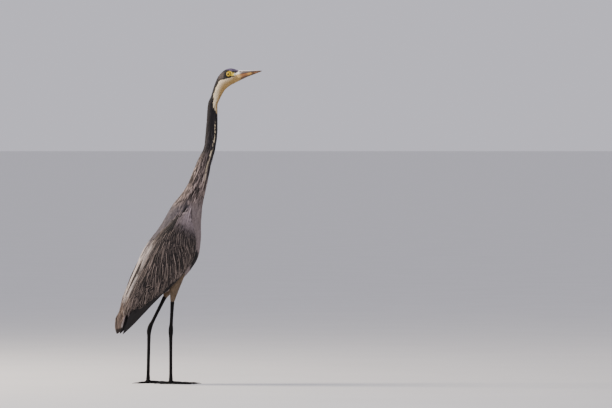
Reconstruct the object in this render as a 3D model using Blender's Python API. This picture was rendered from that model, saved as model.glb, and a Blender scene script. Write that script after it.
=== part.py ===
"""Black-headed heron standing alert, with its neck stretched up and its head turned to its right.

A still, life-size model. The bird faces +X, its left side is +Y, and it stands on the plane z = 0.
Every piece is a closed solid, parted from its neighbours by a cut of GAP.
"""

import math

import bmesh
import bpy
from mathutils import Vector

MM = 0.001
GAP = 0.3 * MM  # the cut between neighbouring pieces

# Driving dimensions, in millimetres.
HEAD_YAW = math.radians(-52)  # the head is turned to the bird's right
NECK_PIVOT = (156.5, 806.0)  # x and z where the upper neck leaves the body's plane of symmetry
EYE_ALONG = 72.5  # from the pivot to the eyes, in the head's plane
EYE_HEIGHT = 892.5
EYE_RADIUS = 8.0
EYE_SINK = 5.4  # how far the eye's centre lies under the side of the head
FOOT_SPREAD = 29.0  # from the plane of symmetry to each foot
BALL_RADIUS = 7.5
SHANK_END = 6.0  # how far over the ball's radius the leg ends and the foot begins
SOLE_CUT = 0.82  # height of a toe's middle over the floor, in toe radii

# A station is (along, height, back, front, half width, egg), in millimetres. back and front are the depths
# from the spine to the outline, and egg widens the back half of the section and narrows the front half.
# The trunk's and the neck's stations run in the plane of symmetry, from the rump up to the pivot.
TRUNK_STATIONS = (
    (-70, 238, 24, 24, 22, 0.00),  # rump, where the tail begins
    (-42, 274, 37, 40, 33, 0.04),
    (-15, 306, 53, 57, 42, 0.08),
    (8, 336, 65, 67, 47, 0.10),
    (29, 368, 69, 74, 49, 0.10),  # deepest point of the belly
    (47, 402, 67, 76, 49, 0.10),
    (62, 434, 61, 63.5, 47, 0.10),
    (74, 470, 54, 50, 42, 0.08),  # shoulders
    (87, 508, 45, 39, 35, 0.06),  # hump of the mantle
    (97, 540, 31, 33.5, 27, 0.02),
    (107, 566, 25, 30.5, 24, 0.00),  # base of the neck
    (117, 597, 22, 27, 21, 0.00),
    (132, 645, 17, 22.5, 17.5, 0.00),
    (144, 676, 13, 19.5, 15, 0.00),
    (151, 716, 15.2, 19.8, 14.5, 0.00),
    (154.5, 760, 14.8, 17.2, 13.5, 0.00),
)
# From the pivot up, the spine runs in the plane of the head, which is turned by HEAD_YAW.
HEAD_STATIONS = (
    (0, 806, 13.2, 15, 13, 0.00),
    (8.6, 823, 12, 14.2, 13, 0.00),
    (18.5, 840, 15, 15, 13.5, 0.00),
    (29, 857, 18.5, 18, 14.5, 0.05),  # throat and nape
    (43, 871.5, 23.5, 21, 16.5, 0.12),
    (60, 880, 27.5, 20.5, 17.5, 0.16),  # widest point of the skull
    (77, 886, 24.5, 20, 15.5, 0.14),
    (96, 890.3, 14, 17.5, 11, 0.08),  # feather edge at the bill
)
# The spine runs along the closed mouth here, with the upper bill behind it and the lower bill before it.
BILL_STATIONS = (
    (108, 892, 10.5, 15, 9, 0.00),
    (130, 894.8, 7.4, 10.2, 6.8, 0.00),
    (156, 898, 4.4, 6.2, 4.2, 0.00),
    (175, 899.9, 2.0, 2.6, 1.9, 0.00),
    (184, 900.6, 0.7, 0.8, 0.6, 0.00),
)
BILL_FULLNESS = 1.15  # 1 is a round section, and more is a roof-shaped one
# The folded wing lies on a cloak round the trunk: (along, height, back, front, half width).
CLOAK_STATIONS = (
    (82, 497, 47, 41, 40),
    (74, 470, 55, 51, 47),
    (62, 434, 63, 63, 52),
    (47, 402, 69, 71, 54.5),
    (29, 368, 72, 73, 55),
    (8, 336, 69, 69, 53),
    (-15, 306, 60, 60, 49),
    (-42, 274, 48, 48, 42),
    (-74, 234, 35, 32, 35),
    (-93, 205, 26, 23, 29.5),
    (-101, 189, 14, 12, 26),
)
# At each station of the cloak: the wing's upper edge as degrees from the middle of the back, its lower
# edge as a share of the front depth, its thickness, and how far it goes in to meet the trunk.
WING_EDGES = (
    (80, -0.05, 2.5, 3),  # bend of the wing
    (52, 0.26, 6.5, 9),
    (38, 0.60, 8.0, 13),
    (27, 0.77, 8.0, 14),
    (19, 0.76, 8.0, 9),
    (12, 0.75, 7.5, 4),
    (7, 0.78, 7.0, 3),
    (4.5, 0.84, 6.5, 4),
    (16, 0.95, 5.0, 1),
    (45, 1.00, 4.0, 0),
    (80, 0.90, 2.0, 0),  # ends of the tertials
)
WING_TUCK = 0.8  # how strongly the wing's lower edge curves in under the body
FULL_TUCK_DEPTH = 50.0  # a shallower body lets the lower edge hang straighter
# (along, side, height, half height, thickness) of the long primaries that show behind each folded wing
PRIMARIES_STATIONS = (
    (-80, 23.5, 226, 11, 3),
    (-90.3, 23, 201.6, 15, 3),
    (-98.9, 23, 179, 14.5, 2.5),
    (-106.7, 22.5, 161.8, 10, 2),
    (-111.2, 22, 149.4, 5, 1.4),
    (-113.2, 21.5, 144, 1.6, 1),
)
# (along, height, half width, droop of the edges, thickness)
TAIL_STATIONS = (
    (-80, 246, 15, 6, 10),
    (-105, 221, 17, 10, 7),
    (-122, 192, 18.5, 13, 5),
    (-127, 166, 19, 13, 4),
    (-126.5, 151, 17, 11, 3),
    (-124, 143, 11, 6, 2),
)
# (along, side, height, half depth, half width), from inside the belly down to the bare shin
THIGH_RIGHT = (
    (47, -23, 322, 25, 12),
    (40, -25, 290, 19, 11.5),
    (37, -27, 266, 12, 9.5),
    (32.5, -28, 237, 6.2, 5.6),
)
THIGH_LEFT = (
    (47, 23, 320, 25, 12),
    (37, 25, 286, 18, 11.5),
    (28, 27, 262, 11, 9.2),
    (21.5, 28, 249, 6.2, 5.6),
)
THIGH_ROWS = len(THIGH_RIGHT)
ANKLE_RIGHT = (27.5, -28.5, 153)
ANKLE_LEFT = (-24.5, 28.5, 158)
FOOT_RIGHT = (27.5, -FOOT_SPREAD)
FOOT_LEFT = (-27.5, FOOT_SPREAD)
# name: (degrees outwards from straight ahead, length, radius at the root, joints, claw's length)
TOES = {
    "inner": (-24, 54, 4.3, 2, 12),
    "middle": (5, 76, 4.6, 3, 13),
    "outer": (35, 62, 4.3, 4, 12),
    "hind": (190, 31, 4.2, 1, 18),
}

FINISHES = {  # name: (colour, roughness)
    "grey_plumage": ((0.20, 0.19, 0.20), 0.7),
    "black_plumage": ((0.03, 0.03, 0.045), 0.6),
    "neck_plumage": ((0.14, 0.13, 0.14), 0.7),
    "tail_plumage": ((0.16, 0.15, 0.16), 0.65),
    "upper_bill": ((0.16, 0.12, 0.10), 0.35),
    "lower_bill": ((0.55, 0.42, 0.22), 0.35),
    "eye": ((0.75, 0.62, 0.08), 0.08),
    "leg_skin": ((0.02, 0.02, 0.025), 0.5),
    "claw": ((0.03, 0.028, 0.026), 0.4),
}


def clear_scene():
    for obj in list(bpy.data.objects):
        bpy.data.objects.remove(obj)


def finish(name):
    """The material of that name, made once."""
    found = bpy.data.materials.get(name)
    if found:
        return found
    made = bpy.data.materials.new(name)
    made.use_nodes = True
    colour, roughness = FINISHES[name]
    shader = made.node_tree.nodes["Principled BSDF"]
    shader.inputs["Base Color"].default_value = (*colour, 1)
    shader.inputs["Roughness"].default_value = roughness
    made.diffuse_color = (*colour, 1)
    return made


def spline(rows, at):
    """The row at that place along a smooth curve through the rows. Place 0 is the first row."""
    last = len(rows) - 1
    at = min(max(at, 0.0), float(last))
    i = min(int(at), last - 1)
    f = at - i
    before, start, end, after = (rows[min(max(k, 0), last)] for k in (i - 1, i, i + 1, i + 2))
    mixed = []
    for a, b, c, d in zip(before, start, end, after):
        slope_b, slope_c = (c - a) / 2, (d - b) / 2
        mixed.append(
            (2 * f**3 - 3 * f**2 + 1) * b
            + (f**3 - 2 * f**2 + f) * slope_b
            + (3 * f**2 - 2 * f**3) * c
            + (f**3 - f**2) * slope_c
        )
    return mixed


def steps(start, end, count):
    return [start + (end - start) * i / count for i in range(count + 1)]


def spine_rows():
    """The spine from rump to bill tip, as (x, y, z, turn, back, front, half width, egg)."""
    rows = [(x, 0, z, 0, *sizes) for x, z, *sizes in TRUNK_STATIONS]
    for along, z, *sizes in (*HEAD_STATIONS, *BILL_STATIONS):
        turn = HEAD_YAW * min(1.0, along / HEAD_STATIONS[3][0])
        x = NECK_PIVOT[0] + along * math.cos(HEAD_YAW)
        rows.append((x, along * math.sin(HEAD_YAW), z, turn, *sizes))
    return rows


SPINE = spine_rows()
PRIMARIES_PATH = [(x, z) for x, _, z, _, _ in PRIMARIES_STATIONS]
NECK_BASE = 9.0  # places along the spine
NECK_TOP = len(TRUNK_STATIONS) + 3.0
BILL_BASE = len(TRUNK_STATIONS) + len(HEAD_STATIONS) - 1.0
EYES = len(TRUNK_STATIONS) + 5.75
BILL_TIP = len(SPINE) - 1.0


def spine_frame(at):
    """(centre, along, down, side) of the spine there: to the bill, to the belly and to the left."""
    centre = Vector(spline(SPINE, at)[:3]) * MM
    ahead = Vector(spline(SPINE, at + 0.02)[:3]) - Vector(spline(SPINE, at - 0.02)[:3])
    along = ahead.normalized()
    turn = spline(SPINE, at)[3]
    side = Vector((-math.sin(turn), math.cos(turn), 0))
    down = along.cross(side).normalized() * -1
    side = along.cross(down)
    if down.dot(Vector((math.cos(turn), math.sin(turn), -1))) < 0:
        down = -down
    return centre, along, down, side.normalized()


def spine_ring(at, sides, shift=0.0, grow=0.0):
    """The ring of points round the spine there, moved along it by shift and widened by grow, in metres."""
    centre, along, down, side = spine_frame(at)
    back, front, wide, egg = spline(SPINE, at)[4:]
    ring = []
    for k in range(sides):
        angle = 2 * math.pi * k / sides
        c, s = math.cos(angle), math.sin(angle)
        depth = -(back * MM + grow) * c if c > 0 else -(front * MM + grow) * c
        width = (wide * MM + grow) * s * (1 + egg * c)
        ring.append(centre + along * shift + down * depth + side * width)
    return ring


def new_object(name, mesh_maker, material, parent):
    bm = bmesh.new()
    mesh_maker(bm)
    bmesh.ops.remove_doubles(bm, verts=bm.verts, dist=0.01 * MM)
    bmesh.ops.recalc_face_normals(bm, faces=bm.faces)
    mesh = bpy.data.meshes.new(name)
    bm.to_mesh(mesh)
    bm.free()
    mesh.materials.append(finish(material))
    mesh.shade_smooth()
    mesh.set_sharp_from_angle(angle=math.radians(50))
    obj = bpy.data.objects.new(name, mesh)
    bpy.context.scene.collection.objects.link(obj)
    obj.parent = parent
    return obj


def bridge(bm, rings):
    """A closed skin over rings of the same number of points, with a flat cap at each end."""
    loops = [[bm.verts.new(p) for p in ring] for ring in rings]
    count = len(loops[0])
    for low, high in zip(loops, loops[1:]):
        for k in range(count):
            n = (k + 1) % count
            bm.faces.new((low[k], low[n], high[n], high[k]))
    bm.faces.new(loops[0])
    bm.faces.new(loops[-1])


def cut(obj, cutter):
    modifier = obj.modifiers.new("Cut_" + cutter.name, "BOOLEAN")
    modifier.operation = "DIFFERENCE"
    modifier.solver = "EXACT"
    modifier.object = cutter


def join(obj, other):
    modifier = obj.modifiers.new("Join_" + other.name, "BOOLEAN")
    modifier.operation = "UNION"
    modifier.solver = "EXACT"
    modifier.object = other


def helper(obj):
    obj.hide_render = True
    obj.display_type = "WIRE"
    return obj


def body_piece(name, start, end, count, sides, material, parent, grow=0.0):
    """A length of the body between two places on the spine, cut square to it with half a gap at each end.

    A cutter is the same shape, grown on all sides.
    """

    def rings(bm):
        places = steps(start, end, count)
        inset = -grow if grow else GAP / 2
        shifts = [inset] + [0.0] * (count - 1) + [-inset]
        bridge(bm, [spine_ring(at, sides, shift, grow) for at, shift in zip(places, shifts)])

    return new_object(name, rings, material, parent)


def bill_half(name, upper, material, parent):
    """The upper or the lower bill: one half of each ring, closed by a flat mouth line."""
    half_points = 9

    def rings(bm):
        made = []
        for at in steps(BILL_BASE, BILL_TIP, 11):
            centre, along, down, side = spine_frame(at)
            back, front, wide, _ = spline(SPINE, at)[4:]
            depth, sign = (back, -1) if upper else (front, 1)
            shift = GAP / 2 if at == BILL_BASE else 0
            ring = []
            for k in range(half_points):
                angle = math.pi * k / (half_points - 1)
                out = math.cos(angle)
                rise = math.sin(angle) ** BILL_FULLNESS
                reach = down * sign * (GAP / 2 + depth * MM * rise)
                ring.append(centre + along * shift + side * (wide * MM * out) + reach)
            made.append(ring)
        bridge(bm, made)

    return new_object(name, rings, material, parent)


def eye_place(left):
    """The centre of one eye."""
    _, _, _, side = spine_frame(EYES)
    wide = spline(SPINE, EYES)[6]
    ahead = Vector((math.cos(HEAD_YAW), math.sin(HEAD_YAW), 0)) * EYE_ALONG
    out = side if left else -side
    return (Vector((NECK_PIVOT[0], 0, EYE_HEIGHT)) + ahead + out * (wide - EYE_SINK)) * MM


def ball(bm, centre, radius, across=16, up=10):
    made = bmesh.ops.create_uvsphere(bm, u_segments=across, v_segments=up, radius=radius)
    bmesh.ops.translate(bm, verts=made["verts"], vec=centre)


def head(parent):
    made = body_piece("head", NECK_TOP, BILL_BASE, 12, 20, "black_plumage", parent)
    for left in (True, False):
        name = "eye_left" if left else "eye_right"
        centre = eye_place(left)
        new_object(name, lambda bm: ball(bm, centre, EYE_RADIUS * MM, 14, 8), "eye", parent)
        socket = new_object(
            "socket_" + name, lambda bm: ball(bm, centre, EYE_RADIUS * MM + GAP, 14, 8), "eye", parent
        )
        cut(made, helper(socket))


def slant(rows, at):
    """The directions along and down from a row of (along, height, ...), in the plane of symmetry."""
    ahead, behind = spline(rows, at - 0.05), spline(rows, at + 0.05)
    along = Vector((ahead[0] - behind[0], 0, ahead[1] - behind[1])).normalized()
    return along, Vector((along.z, 0, -along.x))


def wing_section(at, side_sign):
    """One ring of the folded wing: its outer face from the upper edge down, then its inner face back."""
    x, z, back, front, wide = spline(CLOAK_STATIONS, at)
    top_degrees, low_share, thickness, filling = spline(WING_EDGES, at)
    _, down = slant(CLOAK_STATIONS, at)
    top = -back * math.cos(math.radians(top_degrees))
    low = max(front * low_share, top + 4)

    def width_at(depth):
        tuck = 1 if depth < 0 else WING_TUCK * min(1.0, front / FULL_TUCK_DEPTH)
        reach = back if depth < 0 else front
        return wide * math.sqrt(max(0.0, 1 - (tuck * depth / reach) ** 2))

    def point(share, out):
        depth = top + (low - top) * share
        nearby = 0.5
        slope = (width_at(depth + nearby) - width_at(depth - nearby)) / (2 * nearby)
        normal = Vector((-slope, 1)).normalized()
        width = width_at(depth) + normal.y * out
        depth += normal.x * out
        return (Vector((x, 0, z)) + down * depth + Vector((0, side_sign * width, 0))) * MM

    outer_points, inner_points = 13, 9
    ring = []
    for k in range(outer_points):
        share = 0.5 - 0.5 * math.cos(math.pi * k / (outer_points - 1))
        edge = 0.3 + 0.7 * math.sin(math.pi * share) ** 0.6
        ring.append(point(share, thickness * edge))
    for k in reversed(range(inner_points)):
        ring.append(point(k / (inner_points - 1), GAP / MM - filling))
    return ring


def wing(name, side_sign, trunk_cutter, parent):
    def rings(bm):
        places = [0, 0.25, 0.6, *steps(1.0, len(CLOAK_STATIONS) - 1.0, 15)]
        bridge(bm, [wing_section(at, side_sign) for at in places])

    made = new_object(name, rings, "grey_plumage", parent)
    cut(made, trunk_cutter)


def primaries(name, side_sign, parent):
    """The stack of long black feathers whose ends show past the tertials."""

    def rings(bm):
        made = []
        for at in steps(0, len(PRIMARIES_STATIONS) - 1, 9):
            x, y, z, tall, thick = spline(PRIMARIES_STATIONS, at)
            _, down = slant(PRIMARIES_PATH, at)
            ring = []
            for k in range(10):
                angle = 2 * math.pi * k / 10
                out = Vector((0, side_sign * (y + 0.5 * thick * math.sin(angle)), 0))
                ring.append((Vector((x, 0, z)) + out + down * tall * math.cos(angle)) * MM)
            made.append(ring)
        bridge(bm, made)

    new_object(name, rings, "black_plumage", parent)


def tail(trunk_cutter, parent):
    def rings(bm):
        made = []
        across = 9
        for at in steps(0, len(TAIL_STATIONS) - 1, 10):
            x, z, wide, droop, thick = spline(TAIL_STATIONS, at)
            _, down = slant(TAIL_STATIONS, at)
            ring = []
            for face in (-0.5, 0.5):
                for k in range(across):
                    share = 2 * k / (across - 1) - 1
                    if face > 0:
                        share = -share
                    depth = droop * share * share + face * thick * (1 - 0.55 * share * share)
                    ring.append((Vector((x, wide * share, z)) + down * depth) * MM)
            made.append(ring)
        bridge(bm, made)

    cut(new_object("tail", rings, "tail_plumage", parent), trunk_cutter)


def tube(bm, rows, places, sides, floor=None):
    """A closed tube through rows of (x, y, z, half depth, half width), in millimetres, over those places.

    A cut through the middle of a limb leaves half a gap at that end. Nothing goes below the floor.
    """
    rings = []
    for at in places:
        x, y, z, deep, wide = spline(rows, at)
        ahead = Vector(spline(rows, at + 0.02)[:3]) - Vector(spline(rows, at - 0.02)[:3])
        along = ahead.normalized()
        side = Vector((0, 1, 0)) if abs(along.z) > 0.7 else Vector((0, 0, 1)).cross(along).normalized()
        up = along.cross(side).normalized()
        side = up.cross(along).normalized()
        centre = Vector((x, y, z))
        if at == places[0] and at > 0:
            centre += along * GAP / MM / 2
        if at == places[-1] and at < len(rows) - 1:
            centre -= along * GAP / MM / 2
        ring = []
        for k in range(sides):
            angle = 2 * math.pi * (k + 0.5) / sides
            p = centre + up * deep * math.cos(angle) + side * wide * math.sin(angle)
            if floor is not None:
                p.z = max(p.z, floor)
            ring.append(p * MM)
        rings.append(ring)
    bridge(bm, rings)


def limb_rows(thigh_rows, ankle, foot):
    """The whole leg from the thigh down: the bare shin, the ankle's knuckle and the long foot bone."""
    shin = Vector(thigh_rows[-1][:3])
    knuckle = Vector(ankle)
    sole = Vector((*foot, BALL_RADIUS + SHANK_END))
    return (
        *thigh_rows,
        (*shin.lerp(knuckle, 0.3), 5.0, 4.4),
        (*shin.lerp(knuckle, 0.75), 4.8, 4.3),
        (*shin.lerp(knuckle, 0.92), 6.6, 5.6),
        (*knuckle.lerp(sole, 0.06), 6.5, 5.6),
        (*knuckle.lerp(sole, 0.2), 4.9, 4.3),
        (*knuckle.lerp(sole, 0.86), 4.7, 4.2),
        (*sole, 6.2, 5.6),
    )


def leg(side_name, rows, trunk_cutter, parent):
    """The feathered thigh, cut away where the trunk is, and the bare leg below it."""
    split = THIGH_ROWS - 1.0
    thigh = new_object(
        "thigh_" + side_name, lambda bm: tube(bm, rows, steps(0, split, 9), 16), "grey_plumage", parent
    )
    cut(thigh, trunk_cutter)
    places = steps(split, len(rows) - 1, 16)
    new_object("leg_" + side_name, lambda bm: tube(bm, rows, places, 10), "leg_skin", parent)


def toe_rows(origin, heading, length, radius, joints):
    """A toe lying on the floor, with a pad under each joint, and bent a little upwards at its root."""
    rows = []
    for i in range(2 * joints + 2):
        share = i / (2 * joints + 1)
        pad = 1.08 if i % 2 == 0 else 0.9
        thick = radius * (1 - 0.42 * share) * pad
        reach = length * share
        height = thick * SOLE_CUT + 2.2 * (1 - share) ** 4
        x = origin[0] + math.cos(heading) * reach
        y = origin[1] + math.sin(heading) * reach
        rows.append((x, y, height, thick, thick * 0.95))
    return rows


def claw_rows(tip, heading, length):
    """A curved claw from the end of a toe down to the floor."""
    rows = []
    x, y, z, thick = tip[:4]
    for i in range(5):
        share = i / 4
        reach = GAP / MM + 0.1 + length * share
        height = z + 0.35 * math.sin(math.pi * share) * thick - (z - 0.6) * share**1.5
        size = thick * 0.8 * (1 - share) ** 0.8 + 0.35
        place = (x + math.cos(heading) * reach, y + math.sin(heading) * reach)
        rows.append((*place, height, size, size * 0.8))
    return rows


def foot(side_name, origin, outward, parent):
    """The foot: a ball with four toes grown from it, and a claw at the end of each toe."""
    centre = Vector((*origin, BALL_RADIUS * SOLE_CUT)) * MM

    def lump(bm):
        ball(bm, centre, BALL_RADIUS * MM, 12, 8)
        for vert in bm.verts:
            vert.co.z = min(max(vert.co.z, 0.0), (BALL_RADIUS + SHANK_END - 0.4) * MM)

    made = new_object("foot_" + side_name, lump, "leg_skin", parent)
    for toe_name, (turn, length, radius, joints, claw_length) in TOES.items():
        heading = math.radians(turn) * outward
        rows = toe_rows(origin, heading, length, radius, joints)
        places = steps(0, len(rows) - 1, 2 * joints + 3)
        toe = new_object(
            f"toe_{toe_name}_{side_name}", lambda bm: tube(bm, rows, places, 8, 0.0), "leg_skin", parent
        )
        join(made, helper(toe))
        claw = claw_rows(rows[-1], heading, claw_length)
        places = steps(0, len(claw) - 1, 5)
        new_object(
            f"claw_{toe_name}_{side_name}", lambda bm: tube(bm, claw, places, 6, 0.0), "claw", parent
        )


def centre_on_origin(parent):
    """Moves the whole bird so that the middle of its outline's box stands over the origin."""
    bpy.context.view_layer.update()
    graph = bpy.context.evaluated_depsgraph_get()
    corners = []
    for obj in bpy.context.scene.objects:
        if obj.type == "MESH" and not obj.hide_render:
            shown = obj.evaluated_get(graph)
            corners += [shown.matrix_world @ Vector(c) for c in shown.bound_box]
    for axis in (0, 1):
        values = [c[axis] for c in corners]
        parent.location[axis] -= (min(values) + max(values)) / 2
    parent.location.z -= min(c.z for c in corners)
    bpy.context.view_layer.update()


def main():
    clear_scene()
    parent = bpy.data.objects.new("heron", None)
    bpy.context.scene.collection.objects.link(parent)
    body_piece("trunk", 0.0, NECK_BASE, 21, 28, "grey_plumage", parent)
    body_piece("neck", NECK_BASE, NECK_TOP, 21, 18, "neck_plumage", parent)
    head(parent)
    bill_half("bill_upper", True, "upper_bill", parent)
    bill_half("bill_lower", False, "lower_bill", parent)
    trunk_cutter = helper(
        body_piece("trunk_cutter", 0.0, NECK_BASE, 21, 28, "grey_plumage", parent, grow=GAP)
    )
    tail(trunk_cutter, parent)
    for side_name, side_sign in (("left", 1), ("right", -1)):
        wing("wing_" + side_name, side_sign, trunk_cutter, parent)
        primaries("primaries_" + side_name, side_sign, parent)
    for side_name, thigh_rows, ankle, stand, outward in (
        ("right", THIGH_RIGHT, ANKLE_RIGHT, FOOT_RIGHT, -1),
        ("left", THIGH_LEFT, ANKLE_LEFT, FOOT_LEFT, 1),
    ):
        leg(side_name, limb_rows(thigh_rows, ankle, stand), trunk_cutter, parent)
        foot(side_name, stand, outward, parent)
    centre_on_origin(parent)


main()
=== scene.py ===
"""The finish of a black-headed heron that stands alert: skin, eyes, bill, scales and feathers."""

import math
from contextlib import contextmanager
from functools import cache

import bmesh
import bpy
import numpy as np
from bpy.props import FloatProperty, FloatVectorProperty, IntProperty, PointerProperty
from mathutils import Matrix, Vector, noise
from mathutils.bvhtree import BVHTree
from mathutils.kdtree import KDTree


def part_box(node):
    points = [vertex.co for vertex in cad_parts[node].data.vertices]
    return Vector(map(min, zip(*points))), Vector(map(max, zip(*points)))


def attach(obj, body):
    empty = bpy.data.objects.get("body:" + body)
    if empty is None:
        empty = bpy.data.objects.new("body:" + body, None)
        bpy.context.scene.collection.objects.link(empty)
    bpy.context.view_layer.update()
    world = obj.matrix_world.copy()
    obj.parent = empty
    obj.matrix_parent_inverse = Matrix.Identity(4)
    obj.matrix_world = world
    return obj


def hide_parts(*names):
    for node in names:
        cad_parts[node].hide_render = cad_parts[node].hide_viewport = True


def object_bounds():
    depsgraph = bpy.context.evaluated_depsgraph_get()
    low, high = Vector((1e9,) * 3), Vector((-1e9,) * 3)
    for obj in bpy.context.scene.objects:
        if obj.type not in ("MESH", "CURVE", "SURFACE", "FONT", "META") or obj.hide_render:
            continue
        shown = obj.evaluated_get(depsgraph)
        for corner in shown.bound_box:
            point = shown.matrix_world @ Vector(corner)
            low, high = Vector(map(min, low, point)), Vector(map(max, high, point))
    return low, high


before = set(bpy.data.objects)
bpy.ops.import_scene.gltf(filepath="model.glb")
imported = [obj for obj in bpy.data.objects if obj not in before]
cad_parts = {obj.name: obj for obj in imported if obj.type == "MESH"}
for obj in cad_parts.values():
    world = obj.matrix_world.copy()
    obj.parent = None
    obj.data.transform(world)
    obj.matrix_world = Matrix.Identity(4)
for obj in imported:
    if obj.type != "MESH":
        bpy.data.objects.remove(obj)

bl_info = {
    "name": "Black-headed heron",
    "version": (1, 0, 0),
    "blender": (4, 5, 0),
    "location": "3D View > Sidebar > Heron",
    "description": "Builds the skin, bill, eyes, scales and feathers of a standing heron",
    "category": "Object",
}

MM = 0.001
TRIES = 6  # random places that are tried for each feather that there is room for
RAY_START = 0.3  # metres from the bird's middle to where a ray starts that looks for its surface
SOLID_MARGIN = 0.25 * MM  # how far the walls of the solids are moved out before they are joined
PATCH = 0.003  # size of one feather's patch on the bake map
CAD_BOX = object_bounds()
SIDES = {"left": 1.0, "right": -1.0}
FLESH = ("head", "neck", "trunk", "wing_left", "wing_right", "thigh_left", "thigh_right")
LIMBS = ("leg_left", "leg_right", "foot_left", "foot_right")
FEATHERED = FLESH + ("tail", "primaries_left", "primaries_right", "bill_upper", "bill_lower")
TOES = ("inner", "middle", "outer", "hind")
DOWN = Vector((0, 0, -1))


# ---------------------------------------------------------------- small tools


def linear(hex_code):
    """The linear colour of an sRGB hex code."""
    parts = [int(hex_code[i : i + 2], 16) / 255 for i in (1, 3, 5)]
    return tuple(c / 12.92 if c <= 0.04045 else ((c + 0.055) / 1.055) ** 2.4 for c in parts)


def ease(x, start, end):
    """0 before start, 1 after end, and smooth between them."""
    t = np.clip((np.asarray(x, float) - start) / (end - start), 0, 1)
    return t * t * (3 - 2 * t)


def unit(vectors):
    return vectors / np.maximum(np.linalg.norm(vectors, axis=-1, keepdims=True), 1e-9)


def dots(a, b):
    """The dot product of each row of a with the same row of b."""
    return np.sum(a * b, 1)


def level(vectors, normals):
    """The share of each vector that lies along a surface with those normals."""
    return vectors - dots(vectors, normals)[:, None] * normals


def mixed(a, b, share):
    """a where share is 0, b where it is 1, and a mixture between."""
    return a + (b - a) * np.asarray(share)[..., None]


def rough(points, size, seed=0.0):
    """Smooth noise from -1 to 1 at each point, with lumps about that size."""
    return np.array([noise.noise(Vector(p) / size + Vector((seed, seed, 0))) for p in points])


def vectors_of(items, field):
    """That field of each of the items, one row for each."""
    out = np.empty(len(items) * 3, np.float32)
    items.foreach_get(field, out)
    return out.reshape(-1, 3).astype(float)


def points_of(mesh):
    return vectors_of(mesh.vertices, "co")


def normals_of(mesh):
    return vectors_of(mesh.vertex_normals, "vector")


def cad_points(*nodes):
    return np.vstack([points_of(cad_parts[n].data) for n in nodes])


def middle(node):
    low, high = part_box(node)
    return (low + high) / 2


@cache
def solid_tree(*nodes):
    """A tree of the faces of those CAD nodes, and the number of the node that each face belongs to."""
    corners, faces, owner = [], [], []
    for number, node in enumerate(nodes):
        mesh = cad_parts[node].data
        first = len(corners)
        corners += [v.co.copy() for v in mesh.vertices]
        faces += [[first + i for i in p.vertices] for p in mesh.polygons]
        owner += [number] * len(mesh.polygons)
    return BVHTree.FromPolygons(corners, faces), np.array(owner)


def face_tree(mesh):
    return BVHTree.FromPolygons(points_of(mesh).tolist(), [p.vertices[:] for p in mesh.polygons])


def nearest_node(points, nodes):
    """The number of the node that each point is closest to."""
    tree, owner = solid_tree(*nodes)
    return owner[[tree.find_nearest(p)[2] for p in points]]


def put_attribute(mesh, name, kind, values, domain="POINT"):
    field = {"FLOAT": "value", "FLOAT_COLOR": "color"}.get(kind, "vector")
    layer = mesh.attributes.new(name, kind, domain)
    layer.data.foreach_set(field, np.ascontiguousarray(values, np.float32).ravel())


def put_tone(mesh, colours, name="tone"):
    alpha = np.ones((len(colours), 1))
    put_attribute(mesh, name, "FLOAT_COLOR", np.hstack([np.clip(colours, 0, 1), alpha]))


def place_vertices(mesh, points):
    mesh.vertices.foreach_set("co", np.ascontiguousarray(points, np.float32).ravel())
    mesh.update()


def mesh_from(bm, name):
    """The bmesh as a mesh of that name. The bmesh is freed."""
    mesh = bpy.data.meshes.new(name)
    bm.to_mesh(mesh)
    bm.free()
    return mesh


@contextmanager
def edited(mesh):
    """The mesh as a bmesh, which is written back to it at the end."""
    bm = bmesh.new()
    bm.from_mesh(mesh)
    yield bm
    bm.to_mesh(mesh)
    bm.free()


def relax(bm, verts, factor, rounds):
    """Evens out those vertices. Each round moves them by that factor towards their neighbours' middle."""
    axes = {"use_axis_" + axis: True for axis in "xyz"}
    for _ in range(rounds):
        bmesh.ops.smooth_vert(bm, verts=verts, factor=factor, **axes)


def evaluated(obj):
    """A plain copy of the object's mesh with its modifiers done. The object is removed."""
    bpy.context.view_layer.update()
    graph = bpy.context.evaluated_depsgraph_get()
    solid = obj.evaluated_get(graph)
    mesh = bpy.data.meshes.new_from_object(solid, preserve_all_data_layers=True, depsgraph=graph)
    bpy.data.objects.remove(obj)
    return mesh


def loose_object(name, mesh):
    obj = bpy.data.objects.new(name, mesh)
    bpy.context.scene.collection.objects.link(obj)
    return obj


def merged_copy(nodes, grow=SOLID_MARGIN):
    """One bmesh of those CAD nodes, with loose triangles merged and the walls moved out a little."""
    bm = bmesh.new()
    for node in nodes:
        bm.from_mesh(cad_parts[node].data)
    bmesh.ops.remove_doubles(bm, verts=bm.verts, dist=0.01 * MM)
    bm.normal_update()
    for vert in bm.verts:
        vert.co += vert.normal * grow
    return bm


def remeshed(bm, voxel):
    """A closed mesh round everything in the bmesh, relaxed to lose its steps."""
    obj = loose_object("shell", mesh_from(bm, "shell"))
    shell = obj.modifiers.new("Voxels", "REMESH")
    shell.mode = "VOXEL"
    shell.voxel_size = voxel
    soften = obj.modifiers.new("Relax", "SMOOTH")
    soften.factor = 0.5
    soften.iterations = 3
    return main_island(evaluated(obj))


def main_island(mesh):
    """The mesh with every part removed but its largest."""
    with edited(mesh) as bm:
        seen, largest = set(), []
        for first in bm.verts:
            if first in seen:
                continue
            seen.add(first)
            island = [first]
            for vert in island:
                for edge in vert.link_edges:
                    other = edge.other_vert(vert)
                    if other not in seen:
                        seen.add(other)
                        island.append(other)
            if len(island) > len(largest):
                largest = island
        kept = set(largest)
        bmesh.ops.delete(bm, geom=[v for v in bm.verts if v not in kept], context="VERTS")
    return mesh


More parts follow.
